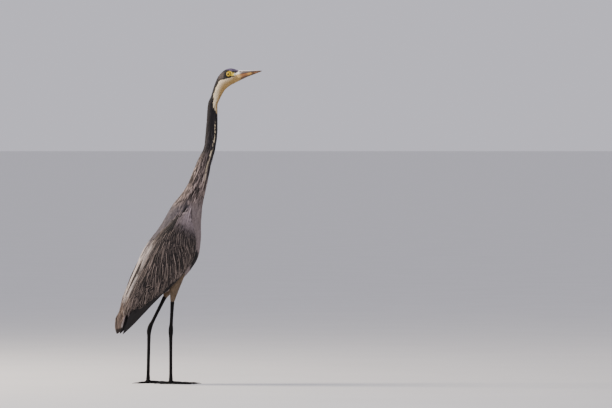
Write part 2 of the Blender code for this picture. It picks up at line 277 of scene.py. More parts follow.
def united(base, *others):
    """The base mesh and the others as one closed mesh."""
    obj = loose_object("joined", base)
    helpers = [loose_object("part", mesh) for mesh in others]
    for helper in helpers:
        modifier = obj.modifiers.new("Join", "BOOLEAN")
        modifier.operation = "UNION"
        modifier.solver = "MANIFOLD"
        modifier.object = helper
    joined = evaluated(obj)
    for helper in helpers:
        bpy.data.objects.remove(helper)
    return joined


def lofted(bm, rings, ends="capped"):
    """Faces between rings of points. The ends are capped, joined to each other, or left open."""
    loops = [[bm.verts.new(p) for p in ring] for ring in rings]
    count = len(loops[0])
    pairs = list(zip(loops, loops[1:]))
    if ends == "joined":
        pairs.append((loops[-1], loops[0]))
    faces = []
    for low, high in pairs:
        for k in range(count):
            n = (k + 1) % count
            faces.append(bm.faces.new((low[k], low[n], high[n], high[k])))
    if ends == "capped":
        faces.append(bm.faces.new(reversed(loops[0])))
        faces.append(bm.faces.new(loops[-1]))
    bmesh.ops.recalc_face_normals(bm, faces=faces)
    return loops


def finish_piece(name, mesh, finish=None, replaced=()):
    """The mesh as a piece of the bird that rides on its body."""
    if finish:
        mesh.materials.clear()
        mesh.materials.append(material(finish))
    obj = loose_object(name, mesh)
    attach(obj, "root")
    if replaced:
        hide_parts(*replaced)


def add(tree, kind, inputs=None, **settings):
    """Adds a node with its settings. An input is linked if its value is a socket, and set if not."""
    made = tree.nodes.new(kind)
    for key, value in settings.items():
        setattr(made, key, value)
    for key, value in (inputs or {}).items():
        if isinstance(value, bpy.types.NodeSocket):
            tree.links.new(value, made.inputs[key])
        else:
            made.inputs[key].default_value = value
    return made


# ---------------------------------------------------------------- settings


def colour_property(name, hex_code, description):
    setting = {"name": name, "description": description, "default": linear(hex_code)}
    return FloatVectorProperty(subtype="COLOR", size=3, min=0, max=1, **setting)


def size_property(name, default, description, unit="LENGTH", **limits):
    return FloatProperty(name=name, description=description, default=default, unit=unit, **limits)


class HeronColours(bpy.types.PropertyGroup):
    """The colours of the feathers and the bare parts."""

    # Laid on top of the crown, where it also stands for a painted highlight of the sky.
    cap: colour_property("Cap", "#554C66", "Slate black of the crown and nape")
    throat: colour_property("Throat", "#F2E0BC", "Cream white of the chin, throat and upper foreneck")
    neck: colour_property("Neck", "#1E1B1C", "Black of the neck below the throat")
    foreneck: colour_property("Lower neck", "#6B5E59", "Grey of the lower neck")
    mantle: colour_property("Mantle", "#494449", "Bluish slate of the upper back")
    wing: colour_property("Wing", "#1F1A1A", "Brownish slate of the wing coverts")
    edge: colour_property("Feather edge", "#928279", "Worn pale edges of the wing feathers")
    # Partly the plumes' own silver, partly painted rim light from a light behind the bird.
    rim: colour_property("Rim", "#BDB2AC", "Silver of the plumes along the edge of the back")
    shoulder: colour_property("Shoulder", "#8C7E80", "Paler bend of the wing")
    flight: colour_property("Flight feathers", "#171415", "Black of the long wing feathers")
    tail: colour_property("Tail", "#6B5C52", "Grey of the tail")
    belly: colour_property("Belly", "#776B6A", "Grey of the underparts")
    thigh: colour_property("Thigh", "#5F5040", "Buff grey of the thighs")
    bare: colour_property("Bare face", "#DDC03C", "Yellow of the skin round the eye")
    lore: colour_property("Lore", "#DAD3BE", "Whitish skin in front of the yellow, at the root of the bill")
    leg: colour_property("Leg", "#090808", "Black scaly skin of the legs")
    iris: colour_property("Iris", "#E0B81E", "Yellow of the iris")
    # Painted highlight: near white on the ridge stands for the sky's reflection on darker horn; at the root
    # it is the horn's own pale grey.
    bill_top: colour_property("Bill ridge", "#FFF6F2", "Whitish horn along the ridge of the upper bill")
    bill_dark: colour_property("Bill mouth", "#28151A", "Dark purplish brown horn along the mouth")
    bill_pale: colour_property("Bill base", "#C9A766", "Yellowish horn at the base of the lower bill")
    bill_warm: colour_property("Bill side", "#85603A", "Orange brown horn along the lower bill")


class HeronShape(bpy.types.PropertyGroup):
    """Sizes that shape the skin and the coat."""

    voxel: size_property("Skin grain", 2.2 * MM, "Size of the steps that the skin is made in")
    eye_opening: size_property("Eye opening", 5.7 * MM, "Radius of the opening between the lids")
    feather_gap: size_property("Spacing", 1, "Factor on the gaps between feathers", "NONE", min=0.3, max=4)
    feather_length: size_property("Length", 1, "Factor on the feathers' length", "NONE", min=0.3, max=2)
    seed: IntProperty(name="Seed", description="Start of the random numbers of the coat", default=7)


class HeronStage(bpy.types.PropertyGroup):
    """Where the camera stands and how the light falls."""

    distance: size_property("Distance", 15, "From the bird to the camera")
    height: size_property("Height", 0.674, "Of the camera above the floor")
    azimuth: size_property("Azimuth", math.radians(12), "Turn of the camera towards the tail", "ROTATION")
    view_width: size_property("View width", 1.7626, "Width of the view at the bird")
    aim_right: size_property("Aim right", 0.3456, "From the bird to the middle of the view")
    aim_height: size_property("Aim height", 0.5185, "Of the middle of the view above the floor")
    key_power: size_property("Key light", 3.2, "Strength of the soft key light", "NONE")


def shape():
    return bpy.context.scene.heron_shape


def colours():
    """The scene's colours as arrays, by name."""
    group = bpy.context.scene.heron_colours
    return {name: np.array(getattr(group, name)) for name in HeronColours.__annotations__}


# ---------------------------------------------------------------- the bird's own geometry


EYE = {side: middle("eye_" + side) for side in SIDES}
EYE_RADIUS = (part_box("eye_left")[1].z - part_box("eye_left")[0].z) / 2
EYES_MIDDLE = (EYE["left"] + EYE["right"]) / 2
HEAD_LEFT = (EYE["left"] - EYE["right"]).normalized()
HEAD_AHEAD = HEAD_LEFT.cross(Vector((0, 0, 1))).normalized()
HEAD_AXES = np.array([HEAD_AHEAD, HEAD_LEFT, (0, 0, 1)])


def in_head(points):
    """Places relative to the middle between the eyes: ahead, to the left, and up, in millimetres."""
    return (np.asarray(points, float) - np.array(EYES_MIDDLE)) @ HEAD_AXES.T / MM


def from_head(ahead, left, up):
    return np.array(EYES_MIDDLE) + np.array([ahead, left, up]) @ HEAD_AXES * MM


class MiddleLine:
    """The line down the middle of the bird, from the root of the bill to the end of the tail."""

    STEP = 4 * MM  # between the points of the line
    SLICE = 8 * MM  # between the heights that its middles are measured at
    BLOCK = 20000  # points that are compared with the line at a time

    def __init__(self):
        bill = cad_points("bill_upper")
        ahead = in_head(bill)[:, 0]
        root = bill[ahead < ahead.min() + 2].mean(0)
        marks = [root, from_head(-2, 0, -9), from_head(-26, 0, -14)]
        body = cad_points("neck", "trunk", "tail")
        for z in np.arange(body[:, 2].max() - 3 * self.SLICE, body[:, 2].min(), -self.SLICE):
            near = body[np.abs(body[:, 2] - z) < 2 * self.SLICE]
            marks.append([*(near.min(0) + near.max(0))[:2] / 2, z])
        marks = np.array(marks)
        lengths = np.r_[0, np.cumsum(np.linalg.norm(np.diff(marks, axis=0), axis=1))]
        at = np.arange(0, lengths[-1], self.STEP)
        line = np.stack([np.interp(at, lengths, mark) for mark in marks.T], 1)
        for _ in range(12):
            line[1:-1] = (line[:-2] + 2 * line[1:-1] + line[2:]) / 4
        self.points = line
        self.tangents = unit(np.gradient(line, axis=0))
        turn = ease(line[:, 2], EYES_MIDDLE.z - 86 * MM, EYES_MIDDLE.z - 30 * MM)
        heading = unit(mixed(np.array([1.0, 0, 0]), np.array(HEAD_AHEAD), turn))
        heading[:, 2] = -0.8
        self.fronts = unit(level(heading, self.tangents))
        self.lefts = np.cross(self.fronts, self.tangents)
        self.length = at[-1]

    def nearest(self, points):
        """The index of the closest point of the line to each point."""
        found = np.empty(len(points), int)
        for start in range(0, len(points), self.BLOCK):
            block = points[start : start + self.BLOCK]
            gaps = ((block[:, None, :] - self.points[None]) ** 2).sum(2)
            found[start : start + self.BLOCK] = gaps.argmin(1)
        return found

    def around(self, points):
        """(index, angle, distance) of each point about the line, with the angle measured from in front."""
        index = self.nearest(points)
        away = points - self.points[index]
        front, left = dots(away, self.fronts[index]), dots(away, self.lefts[index])
        return index, np.arctan2(left, front), np.hypot(front, left)

    def straightened(self, points, stretch):
        """The points in a bird pulled straight, whose length is divided by stretch."""
        index = self.nearest(points)
        away = points - self.points[index]
        front, left, along = (dots(away, axis[index]) for axis in (self.fronts, self.lefts, self.tangents))
        return np.stack([front, left, (index * self.STEP + along) / stretch], 1)

    def unwrapped(self, points):
        """Each point's place on the skin's own unwrap: the turn about the line, and the way along it."""
        index, angle, _ = self.around(points)
        return np.stack([angle / math.tau + 0.5, index * self.STEP / self.length], 1)


def fill_back(bm):
    """Adds a ridge along the gap between the folded wings, for the plumes of the back to lie on."""
    up = wing("left").up
    thick = 11 * MM
    turns = np.linspace(0, math.tau, 14, endpoint=False)
    circle = [(up * math.cos(t) + np.array([0, 1, 0]) * math.sin(t)) * thick for t in turns]
    rings = []
    for u in np.linspace(0.30, 0.93, 14):
        edge = wing("left").edge_place(u)
        centre = np.array([edge[0], middle("trunk").y, edge[2]]) - up * (thick - 0.5 * MM)
        rings.append([centre + way for way in circle])
    lofted(bm, rings)


class Surface:
    """A mesh that feathers lie on, with the CAD node that each of its vertices belongs to."""

    def __init__(self, nodes, voxel):
        bm = merged_copy(nodes)
        fill_back(bm)
        self.mesh = remeshed(bm, voxel)
        self.points = points_of(self.mesh)
        self.normals = normals_of(self.mesh)
        self.mesh.calc_loop_triangles()
        self.triangles = np.array([t.vertices[:] for t in self.mesh.loop_triangles])
        self.tree = BVHTree.FromPolygons(self.points.tolist(), self.triangles.tolist())
        self.nodes = nodes
        self.owner = nearest_node(self.points, nodes)

    def nearest(self, points):
        """The closest place on the surface to each point, and the outward normal there."""
        return np.array([self.tree.find_nearest(point)[:2] for point in points]).transpose(1, 0, 2)

    def cast(self, origins, directions):
        """Where each ray meets the surface, or the nearest place if it misses, with the normal there."""
        found = []
        for origin, direction in zip(map(Vector, origins), map(Vector, directions)):
            hit = self.tree.ray_cast(origin, direction)
            if hit[0] is None:
                hit = self.tree.find_nearest(origin + direction * RAY_START)
            found.append(hit[:2])
        return np.array(found).transpose(1, 0, 2)

    def scattered(self, nodes, spacing, keep, seed, stretch=1.0):
        """Points on the surface of those nodes, none closer than spacing to another across the lay.

        Along the lay they are stretch times as far apart.
        """
        rng = np.random.default_rng(seed)
        wanted = [self.nodes.index(n) for n in nodes]
        mine = self.triangles[np.isin(self.owner[self.triangles[:, 0]], wanted)]
        corners, normals = self.points[mine], self.normals[mine]
        sides = corners[:, 1:] - corners[:, :1]
        areas = np.linalg.norm(np.cross(sides[:, 0], sides[:, 1]), axis=1) / 2
        count = int(areas.sum() / spacing**2 / stretch * TRIES)
        chosen = rng.choice(len(areas), count, p=areas / areas.sum())
        mix = rng.dirichlet((1, 1, 1), count)[..., None]
        points = (corners[chosen] * mix).sum(1)
        normals = unit((normals[chosen] * mix).sum(1))
        kept = keep(points, normals)
        points, normals = points[kept], normals[kept]
        spread = line().straightened(points, stretch)
        tree = KDTree(len(points))
        for i, point in enumerate(spread):
            tree.insert(point, i)
        tree.balance()
        free = np.ones(len(points), bool)
        picked = []
        for i, point in enumerate(spread):
            if free[i]:
                picked.append(i)
                for _, j, _ in tree.find_range(point, spacing):
                    free[j] = False
        return points[picked], normals[picked]


@cache
def line():
    return MiddleLine()


@cache
def coat_surface():
    """The surface at the tips of the feathers."""
    return Surface(FEATHERED, shape().voxel)


# ---------------------------------------------------------------- markings


def lore_mask(points):
    """1 on the bare skin between eye and bill, in the head's own places."""
    ahead, left, up = in_head(points).T
    centre = 1.0 - 0.03 * ahead
    half = 6.6 - 0.07 * ahead + 0.5 * rough(points, 3 * MM, 8.0)
    inside = 1 - ease(np.abs(up - centre), half - 0.6, half + 0.4)
    return inside * ease(ahead, 1, 4) * ease(np.abs(left), 3.0, 5)


def eye_distance(points):
    """Distance to the nearer eye's centre, in millimetres."""
    return np.minimum(*[np.linalg.norm(points - np.array(eye), axis=1) for eye in EYE.values()]) / MM


def streaks(points, broad, long, drift=0.25):
    """From -1 to 1 in wavering stripes that run along the bird, that broad and that long in millimetres."""
    flat = line().straightened(points, long / broad)
    bend = rough(points, 34 * MM, 9.0)[:, None] * drift * 30 * MM
    return rough(flat + bend * np.array([0.5, 1, 0]), broad * MM, 5.0)


def wing_streaks(side, points):
    """The same down the long plumes of one wing."""
    way = np.array([-0.18, 0, -1.0])
    across = np.array([1.0, 0, -0.18])
    bend = rough(points, 40 * MM, 2.0) * 7 * MM + rough(points, 15 * MM, 4.0) * 1.5 * MM
    v = wing(side).shares(points)[1]
    steep = np.stack([points @ across + bend, points @ way / 9], 1)
    gentle = np.stack([points @ wing(side).up + bend, points @ wing(side).axis / 9], 1)
    flat = np.hstack([mixed(steep, gentle, ease(v, 0.45, 0.9)), np.zeros((len(points), 1))])
    return rough(flat, 5.2 * MM, SIDES[side])


def quill_border(u):
    """How far up the wing, as a share of its height, the black quills show at u."""
    shares = (0.38, 0.52, 0.65, 0.74, 0.81, 0.88, 0.91, 0.94, 1.0)
    return np.interp(u, shares, (-0.05, 0.05, 0.07, 0.11, 0.13, 0.23, 0.42, 0.56, 0.75))


class Plumage:
    """The colours of the feathers and of their edges at each point, laid on one marking after another."""

    def __init__(self, points):
        self.points = points
        self.height = points[:, 2]
        self.drop = (self.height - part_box("neck")[1].z) / MM  # below 0 on the neck
        self.behind = np.abs(line().around(points)[1]) / math.pi  # 0 in front, 1 at the back
        self.fine = rough(points, 5 * MM)
        self.coarse = rough(points, 22 * MM, 3.0)
        self.stripe = streaks(points, 2.5, 55, 0.12)
        self.owner = nearest_node(points, FEATHERED)
        self.base = self.edges = np.zeros((len(points), 3))

    def on(self, node):
        """True where the point lies on that node."""
        return self.owner == FEATHERED.index(node)

    def paint(self, share, colour, edge=None):
        """Lays a colour over the feathers, and the same one or another over their edges."""
        self.base = mixed(self.base, colour, share)
        self.edges = mixed(self.edges, colour if edge is None else edge, share)


def paint_body(bird, tone):
    """Slate above, grey below, silvery along the lower back with painted rim light there, and the striped
    grey of the lower neck.
    """
    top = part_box("trunk")[1].z
    # Silver plumes along the lower back, lightened further as painted rim light.
    silver_rim_light_share = ease(bird.behind, 0.86, 0.96) * (1 - ease(bird.height, top - 220 * MM, top - 150 * MM))
    silver_rim_light_share *= 0.3 + 0.7 * ease(bird.stripe, -0.2, 0.2)
    grey = mixed(tone["belly"], tone["mantle"], ease(bird.behind, 0.35, 0.6))
    bird.base = mixed(grey, tone["rim"], 0.45 * silver_rim_light_share)
    bird.edges = mixed(mixed(bird.base, tone["edge"], 0.35), tone["rim"], 0.7 * silver_rim_light_share)
    shade = 0.9 - 0.7 * ease(-bird.stripe, 0.0, 0.25) + 1.1 * ease(bird.stripe, 0.05, 0.3)
    fore = tone["foreneck"] * shade[:, None]
    bird.paint(ease(bird.height, top - 60 * MM, top - 10 * MM), fore, fore * 1.3)


def paint_wing(bird, tone, side):
    """A paler bend, brownish slate behind it, black quills below, painted rim light with silver plumes
    along the upper back edge, and painted shadow along the shoulder.
    """
    on_wing = bird.on("wing_" + side)
    u, v = wing(side).shares(bird.points)
    covert = mixed(tone["shoulder"], tone["wing"], ease(u + 0.02 * bird.coarse, 0.03, 0.2))
    covert = mixed(covert, tone["tail"], 0.5 * ease(u, 0.80, 0.95) * ease(v, 0.4, 0.7))
    covert *= (1.0 - 0.25 * ease(u, 0.3, 0.85))[:, None]
    # Painted rim light, with the plumes' own silver, along the wing's upper back edge.
    rim = ease(v, 0.87, 0.97) * ease(u, 0.32, 0.5) * (1 - 0.5 * ease(u, 0.85, 0.95))
    covert = mixed(covert, tone["rim"], 0.8 * rim)
    plume = np.zeros(len(u))
    plume[on_wing] = wing_streaks(side, bird.points[on_wing])
    loose = ease(u, 0.1, 0.24)
    covert *= (1 - 0.4 * loose * ease(-plume, 0.0, 0.3))[:, None]
    covert = mixed(covert, tone["edge"], 0.3 * loose * ease(plume, 0.12, 0.42))
    pale = mixed(mixed(covert, tone["edge"], 0.25 + 0.55 * loose), tone["rim"], rim)
    quills = ease(quill_border(u) - v + 0.015 * bird.fine, -0.02, 0.02)
    covert = mixed(covert, tone["flight"], quills)
    pale = mixed(pale, tone["flight"] * 1.5, quills)
    bird.paint(on_wing, covert, pale)
    # Painted shadow in the crease between the mantle and the shoulder of the wing.
    near_side = (bird.points[:, 1] - middle("trunk").y) * SIDES[side] > 0
    gap = (1 - ease(np.abs(v - 0.875), 0.04, 0.08)) * ease(u, -0.08, -0.02) * (1 - ease(u, 0.2, 0.3))
    bird.paint(0.95 * gap * near_side, tone["neck"] * 0.4)
    bird.paint(bird.on("thigh_" + side), tone["thigh"], tone["thigh"] * 1.2)


def paint_tail(bird, tone):
    """Grey, with darker and paler streaks along it."""
    shade = 0.85 - 0.5 * ease(-bird.stripe, 0.0, 0.2) + 0.6 * ease(bird.stripe, 0.1, 0.35)
    bird.paint(bird.on("tail"), tone["tail"] * shade[:, None], tone["tail"] * 1.5)


def paint_shade_patch(bird, tone):
    """Painted shade: a black patch in front of the thighs, under the wing's front edge, which meets its
    twin in a chevron.
    """
    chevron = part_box("trunk")[0].z + (118 + 150 * bird.behind + 9 * bird.coarse + 4 * bird.fine) * MM
    thick = (7 + 14 * ease(bird.behind, 0.0, 0.06)) * MM
    patch = 1 - ease(np.abs(bird.height - chevron) - thick, -3 * MM, 4 * MM)
    bird.paint(patch * (1 - ease(bird.behind + 0.03 * bird.fine, 0.20, 0.26)), tone["flight"] * 0.6)


def paint_neck(bird, tone):
    """Black below the throat, greyer downwards, with pale and black beads down the front."""
    drop, coarse = bird.drop, bird.coarse
    dark = 1 + 1.8 * ease(bird.stripe, 0.0, 0.3) * (1 - 0.6 * ease(drop, -170, -120))
    dark = tone["neck"] * dark[:, None]
    bird.paint(ease(drop + coarse * 15, -250, -185), dark, dark * 1.6)
    on_neck = ease(drop, -310, -270) * (1 - ease(drop, -100, -88))
    bird.paint(0.85 * (1 - ease(bird.behind, 0.22, 0.29)) * on_neck, tone["neck"])
    beads = (1 - ease(np.abs(bird.behind - 0.33 - 0.04 * coarse), 0.03, 0.06)) * on_neck
    beads *= ease(rough(bird.points * np.array([1, 1, 0.5]), 3.0 * MM, 6.0), -0.06, 0.1)
    beads *= 1 - ease(drop, -130, -105)
    beads *= 0.35 + 0.65 * ease(rough(bird.points, 30 * MM, 7.0) + ease(drop, -240, -180), -0.1, 0.2)
    bird.paint(0.9 * beads, tone["throat"] * 0.8)


def paint_throat(bird, tone):
    """White in front of the black that runs up the back of the neck to the cap, and brown underneath: a
    little of the throat's own buff, and mostly painted shade.
    """
    drop, behind = bird.drop, bird.behind
    border = np.interp(
        drop, (-102, -90, -79, -68, -58, -38, -11, 20), (0, 0.14, 0.34, 0.52, 0.62, 0.66, 0.56, 0.55)
    )
    ragged = 0.05 + 0.10 * (1 - ease(drop, -90, -60))
    throat = ease(border - behind + ragged * bird.fine, -0.03, 0.03) * ease(drop, -118, -104)
    chin = ease(drop, -78, -58)
    # Painted shade under the throat and chin, with a little of the throat's own buff.
    under = (0.88 + 0.07 * chin) * (1 - ease(behind, 0.14, 0.44 + 0.1 * chin))
    buff_and_shade = mixed(np.ones(3), np.array([0.34, 0.25, 0.11]), under)
    bird.paint(throat, tone["throat"] * buff_and_shade * (1 - 0.12 * ease(-bird.fine, 0.1, 0.5))[:, None])
    bird.paint((1 - throat) * ease(drop, -80, -60), tone["neck"], tone["neck"] * 1.5)


def paint_cap(bird, tone):
    """Black above the line from the gape, under the eye, to the nape, with a slate crown that is partly the
    cap's own slate and partly a painted highlight of the sky.
    """
    ahead, _, up = in_head(bird.points).T
    cap_edge = np.interp(ahead, (-60, -45, -36, 0, 18, 30), (-40, -27, -19, -12.5, -7.8, -4))
    over = up - cap_edge + 0.8 * bird.fine
    # Lighter slate on top of the head: the cap's own slate with a painted sky highlight.
    slate = ease(up + 0.12 * ahead, 9.0, 12.5) * (0.35 + 0.65 * ease(ahead, -24, -10))
    cheek = 0.5 * ease(-ahead, 14, 19) * (1 - ease(-ahead, 32, 44))
    cheek *= ease(over, 2.5, 5) * (1 - ease(up, 1, 8))
    crown = mixed(mixed(tone["neck"], tone["cap"], slate), tone["edge"] * 0.45, cheek)
    bird.paint(ease(over, -0.8, 0.8), crown, crown * 1.25)


def markings(points):
    """The colour of the plumage at each point, and the colour of the feathers' edges there."""
    bird, tone = Plumage(points), colours()
    paint_body(bird, tone)
    for side in SIDES:
        paint_wing(bird, tone, side)
    # The black patch in front of the thighs is painted shade.
    for paint in (paint_tail, paint_shade_patch, paint_neck, paint_throat, paint_cap):
        paint(bird, tone)
    return bird.base, bird.edges


# ---------------------------------------------------------------- materials


def new_material(name):
    made = bpy.data.materials.new(name)
    made.use_nodes = True
    return made, made.node_tree, made.node_tree.nodes["Principled BSDF"]


def dress(tree, shader, colour, shade, bump=None, **values):
    """Feeds the shader colour times shade and the bump, and sets its other sockets to the values."""
    shaded = add(tree, "ShaderNodeVectorMath", {0: colour, "Scale": shade}, operation="SCALE")
    tree.links.new(shaded.outputs[0], shader.inputs["Base Color"])
    if bump:
        tree.links.new(bump.outputs[0], shader.inputs["Normal"])
    for key, value in values.items():
        shader.inputs[key.replace("_", " ")].default_value = value


BARB_DEPTH = 0.05 * MM  # relief of a feather's barbs and of the growth lines in horn


def plumage_material(name, barb_count, pale_from, roughness, tip=1.0):
    """A feather's vane, of keratin: matt and a little velvety, with slanting barbs and a worn pale edge.

    Real barbs are half a millimetre apart, too fine to show, so they are drawn coarser. A tip below 1 is
    the share of the length where the feather turns dark.
    """
    made, tree, shader = new_material(name)
    names = ("vane", "tone", "edge_tone")
    vane, tone, edge_tone = (add(tree, "ShaderNodeAttribute", attribute_name=n).outputs for n in names)
    along, across = add(tree, "ShaderNodeSeparateXYZ", {0: vane["Vector"]}).outputs[:2]
    across = add(tree, "ShaderNodeMath", {0: across}, operation="ABSOLUTE").outputs[0]
    worn = {"Value": across, "From Min": pale_from, "From Max": 1.0}
    worn = add(tree, "ShaderNodeMapRange", worn, interpolation_type="SMOOTHSTEP").outputs[0]
    pair = {0: worn, 6: tone["Color"], 7: edge_tone["Color"]}
    colour = add(tree, "ShaderNodeMix", pair, data_type="RGBA").outputs[2]
    slant = add(tree, "ShaderNodeMath", {0: across, 1: -0.18, 2: along}, operation="MULTIPLY_ADD")
    turns = {0: slant.outputs[0], 1: barb_count * math.tau}
    phase = add(tree, "ShaderNodeMath", turns, operation="MULTIPLY").outputs[0]
    barbs = add(tree, "ShaderNodeMath", {0: phase}, operation="SINE").outputs[0]
    shade = {"Value": barbs, "From Min": -1.0, "To Min": 0.80, "To Max": 1.08}
    shade = add(tree, "ShaderNodeMapRange", shade).outputs[0]
    if tip < 1:
        dark = {"Value": along, "From Min": tip - 0.04, "From Max": tip + 0.02, "To Min": 1, "To Max": 0.12}
        dark = add(tree, "ShaderNodeMapRange", dark).outputs[0]
        shade = add(tree, "ShaderNodeMath", {0: shade, 1: dark}, operation="MULTIPLY").outputs[0]
    bump = add(tree, "ShaderNodeBump", {"Height": barbs, "Distance": BARB_DEPTH, "Strength": 0.6})
    dress(tree, shader, colour, shade, bump, Roughness=roughness, Sheen_Weight=0.06, Sheen_Roughness=0.5,
          Specular_IOR_Level=0.2)
    return made


def skin_material(name, grain_mm, depth_mm, roughness, shine=0.4):
    """Skin: satin or matt, with small raised grains, and its colour read from its vertices."""
    made, tree, shader = new_material(name)
    tone = add(tree, "ShaderNodeAttribute", attribute_name="tone").outputs["Color"]
    place = add(tree, "ShaderNodeTexCoord").outputs["Object"]
    grains_across = 1 / (grain_mm * MM)
    grains = add(tree, "ShaderNodeTexVoronoi", {"Vector": place, "Scale": grains_across}).outputs[0]
    speckle = add(tree, "ShaderNodeTexNoise", {"Vector": place, "Scale": grains_across / 4, "Detail": 4.0})
    shade = add(tree, "ShaderNodeMapRange", {"Value": speckle.outputs[0], "To Min": 0.75, "To Max": 1.2})
    bump = add(tree, "ShaderNodeBump", {"Height": grains, "Distance": depth_mm * MM}, invert=True)
    dress(tree, shader, tone, shade.outputs[0], bump, Roughness=roughness, Specular_IOR_Level=shine)
    return made


def fibrous_material(name, stretch, detail, brightest, depth, **values):
    """A finish with streaks that are drawn out along the piece, and its colour read from its vertices."""
    made, tree, shader = new_material(name)
    read = [add(tree, "ShaderNodeAttribute", attribute_name=key).outputs for key in ("vane", "tone")]
    stretched = add(tree, "ShaderNodeMapping", {"Vector": read[0]["Vector"], "Scale": stretch}).outputs[0]
    fibres = {"Vector": stretched, "Scale": 1.0, "Detail": detail}
    fibres = add(tree, "ShaderNodeTexNoise", fibres).outputs[0]
    shade = {"Value": fibres, "To Min": 0.7, "To Max": brightest}
    shade = add(tree, "ShaderNodeMapRange", shade).outputs[0]
    bump = add(tree, "ShaderNodeBump", {"Height": fibres, "Distance": depth}) if depth else None
    dress(tree, shader, read[1]["Color"], shade, bump, **values)
    return made


def horn_material(name, roughness, shine=0.5):
    """Keratin: satin, with faint streaks along its length from growth."""
    return fibrous_material(name, (3.0, 30.0, 1.0), 5.0, 1.3, BARB_DEPTH, Roughness=roughness,
                            Specular_IOR_Level=shine, Coat_Weight=0.15)


def eye_material(name):
    """A wet eyeball: radial fibres in the iris under a clear, glossy front."""
    return fibrous_material(name, (1.5, 60.0, 1.0), 3.0, 1.25, 0.0, Roughness=0.35, Specular_IOR_Level=0.2,
                            Coat_Weight=0.12, Coat_Roughness=0.03)


# Each material's maker and settings. Feathers have their count of barbs, the share of the half width where
# the worn edge starts and their roughness, and skin has its grain and its relief in millimetres.
MATERIALS = {
    "contour_feather": (plumage_material, 9, 0.45, 0.75),
    "plume_feather": (plumage_material, 22, 0.35, 0.7),
    "edged_feather": (plumage_material, 16, 0.6, 0.7),
    "flight_feather": (plumage_material, 55, 0.86, 0.55),
    "tail_feather": (plumage_material, 55, 0.7, 0.55, 0.88),
    "feathered_skin": (skin_material, 1.2, 0.15, 0.7),
    "bare_face_skin": (skin_material, 0.6, 0.12, 0.5),
    "scaly_skin": (skin_material, 1.3, 0.35, 0.6, 0.12),
    "leg_scute": (horn_material, 0.5, 0.15),
    "bill_horn": (horn_material, 0.38, 0.3),
    "claw_horn": (horn_material, 0.35),
    "wet_eye": (eye_material,),
}


def material(name):
    """The material of that name, made when it is first asked for."""
    maker, *settings = MATERIALS[name]
    return bpy.data.materials.get(name) or maker(name, *settings)


# ---------------------------------------------------------------- feathers


def spindle(s):
    """Half width of a narrow, pointed feather along its length."""
    return np.sin(math.pi * np.clip(s, 0, 1) ** 0.62) ** 0.8 * 0.98 + 0.02


def paddle(s):
    """Half width of a broad feather with a round end."""
    round_end = np.sqrt(np.clip(1 - ((s - 0.35) / 0.66) ** 4, 0, 1))
    return np.clip((s / 0.35) ** 0.7, 0, 1) * round_end * 0.98 + 0.02


def blade(s):
    """Half width of a long flight feather: parallel sides and a blunt point."""
    return np.clip((s / 0.2) ** 0.6, 0, 1) * np.clip((1.01 - s) / 0.16, 0, 1) ** 0.55 * 0.98 + 0.02


def lance(s):
    """Half width of a long loose plume: widest near its root, drawn out to a point."""
    return np.clip((s / 0.25) ** 0.7, 0, 1) * np.clip(1 - s**2.4, 0, 1) ** 0.9 * 0.98 + 0.02


def shield(s):
    """Half width of a scale: broad, with a short round end."""
    return np.clip((s / 0.25) ** 0.5, 0, 1) * np.sqrt(np.clip(1.02 - ((s - 0.25) / 0.76) ** 6, 0, 1))


def feather_blank(name, rows, columns, outline, camber, ragged, seed):
    """One closed vane. x is the share of the length, y the place across, and z the rise, in half widths."""
    rng = np.random.default_rng(seed)
    shares = np.linspace(0, 1, rows) ** 0.9
    width = outline(shares)
    nicks = 1 - ragged * rng.random((rows, 2))
    nicks[0] = 1
    top, vane = [], []
    for share, half, (left, right) in zip(shares, width, nicks):
        for across in np.linspace(-1, 1, columns):
            side = left if across < 0 else right
            bent = share - ragged * 0.05 * abs(across) * rng.random()
            top.append((bent, across * half * side, camber * (1 - across**2) * min(1, 2 * half)))
            vane.append((share, across, 0))
    faces = []
    for first in range(0, (rows - 1) * columns, columns):
        # The vane's upper face, then the flat strip that closes it below.
        for a in range(first, first + columns - 1):
            faces.append((a, a + columns, a + columns + 1, a + 1))
        last = first + columns - 1
        faces.append((first, last, last + columns, first + columns))
    faces.append(tuple(range(columns)))
    faces.append(tuple(reversed(range((rows - 1) * columns, rows * columns))))
    mesh = bpy.data.meshes.new(name)
    mesh.from_pydata(top, [], faces)
    share = np.array(top)[:, 0]
    # The shares of the start, half and end places in a curve through all three, and in the curve's slope.
    weights = np.stack([(1 - share) * (1 - 2 * share), 4 * share * (1 - share), share * (2 * share - 1)], 1)
    slopes = np.stack([4 * share - 3, 4 - 8 * share, 4 * share - 1], 1)
    for key, value in (("weights", weights), ("slopes", slopes), ("vane", vane)):
        put_attribute(mesh, key, "FLOAT_VECTOR", value)
    return bpy.data.objects.new(name, mesh)


# Each kind of feather: rows, columns, outline, camber, raggedness and number of variants.
KINDS = {
    "contour": (6, 3, paddle, 0.30, 0.12, 3),
    "plume": (9, 3, spindle, 0.30, 0.10, 4),
    "flight": (16, 7, blade, 0.14, 0.07, 5),
    "lance": (11, 5, lance, 0.22, 0.08, 5),
    "streak": (11, 3, lance, 0.35, 0.05, 3),
    "scute": (4, 5, shield, 0.42, 0.04, 2),
}


@cache
def blanks(name):
    """The collection of like feathers of that kind, made when it is first asked for."""
    *settings, variants = KINDS[name]
    made = bpy.data.collections.new("blanks_" + name)
    for k in range(variants):
        made.objects.link(feather_blank(f"{name}_{k}", *settings, k))
    return made


CARRIED = ("start", "half", "end", "start_up", "end_up")


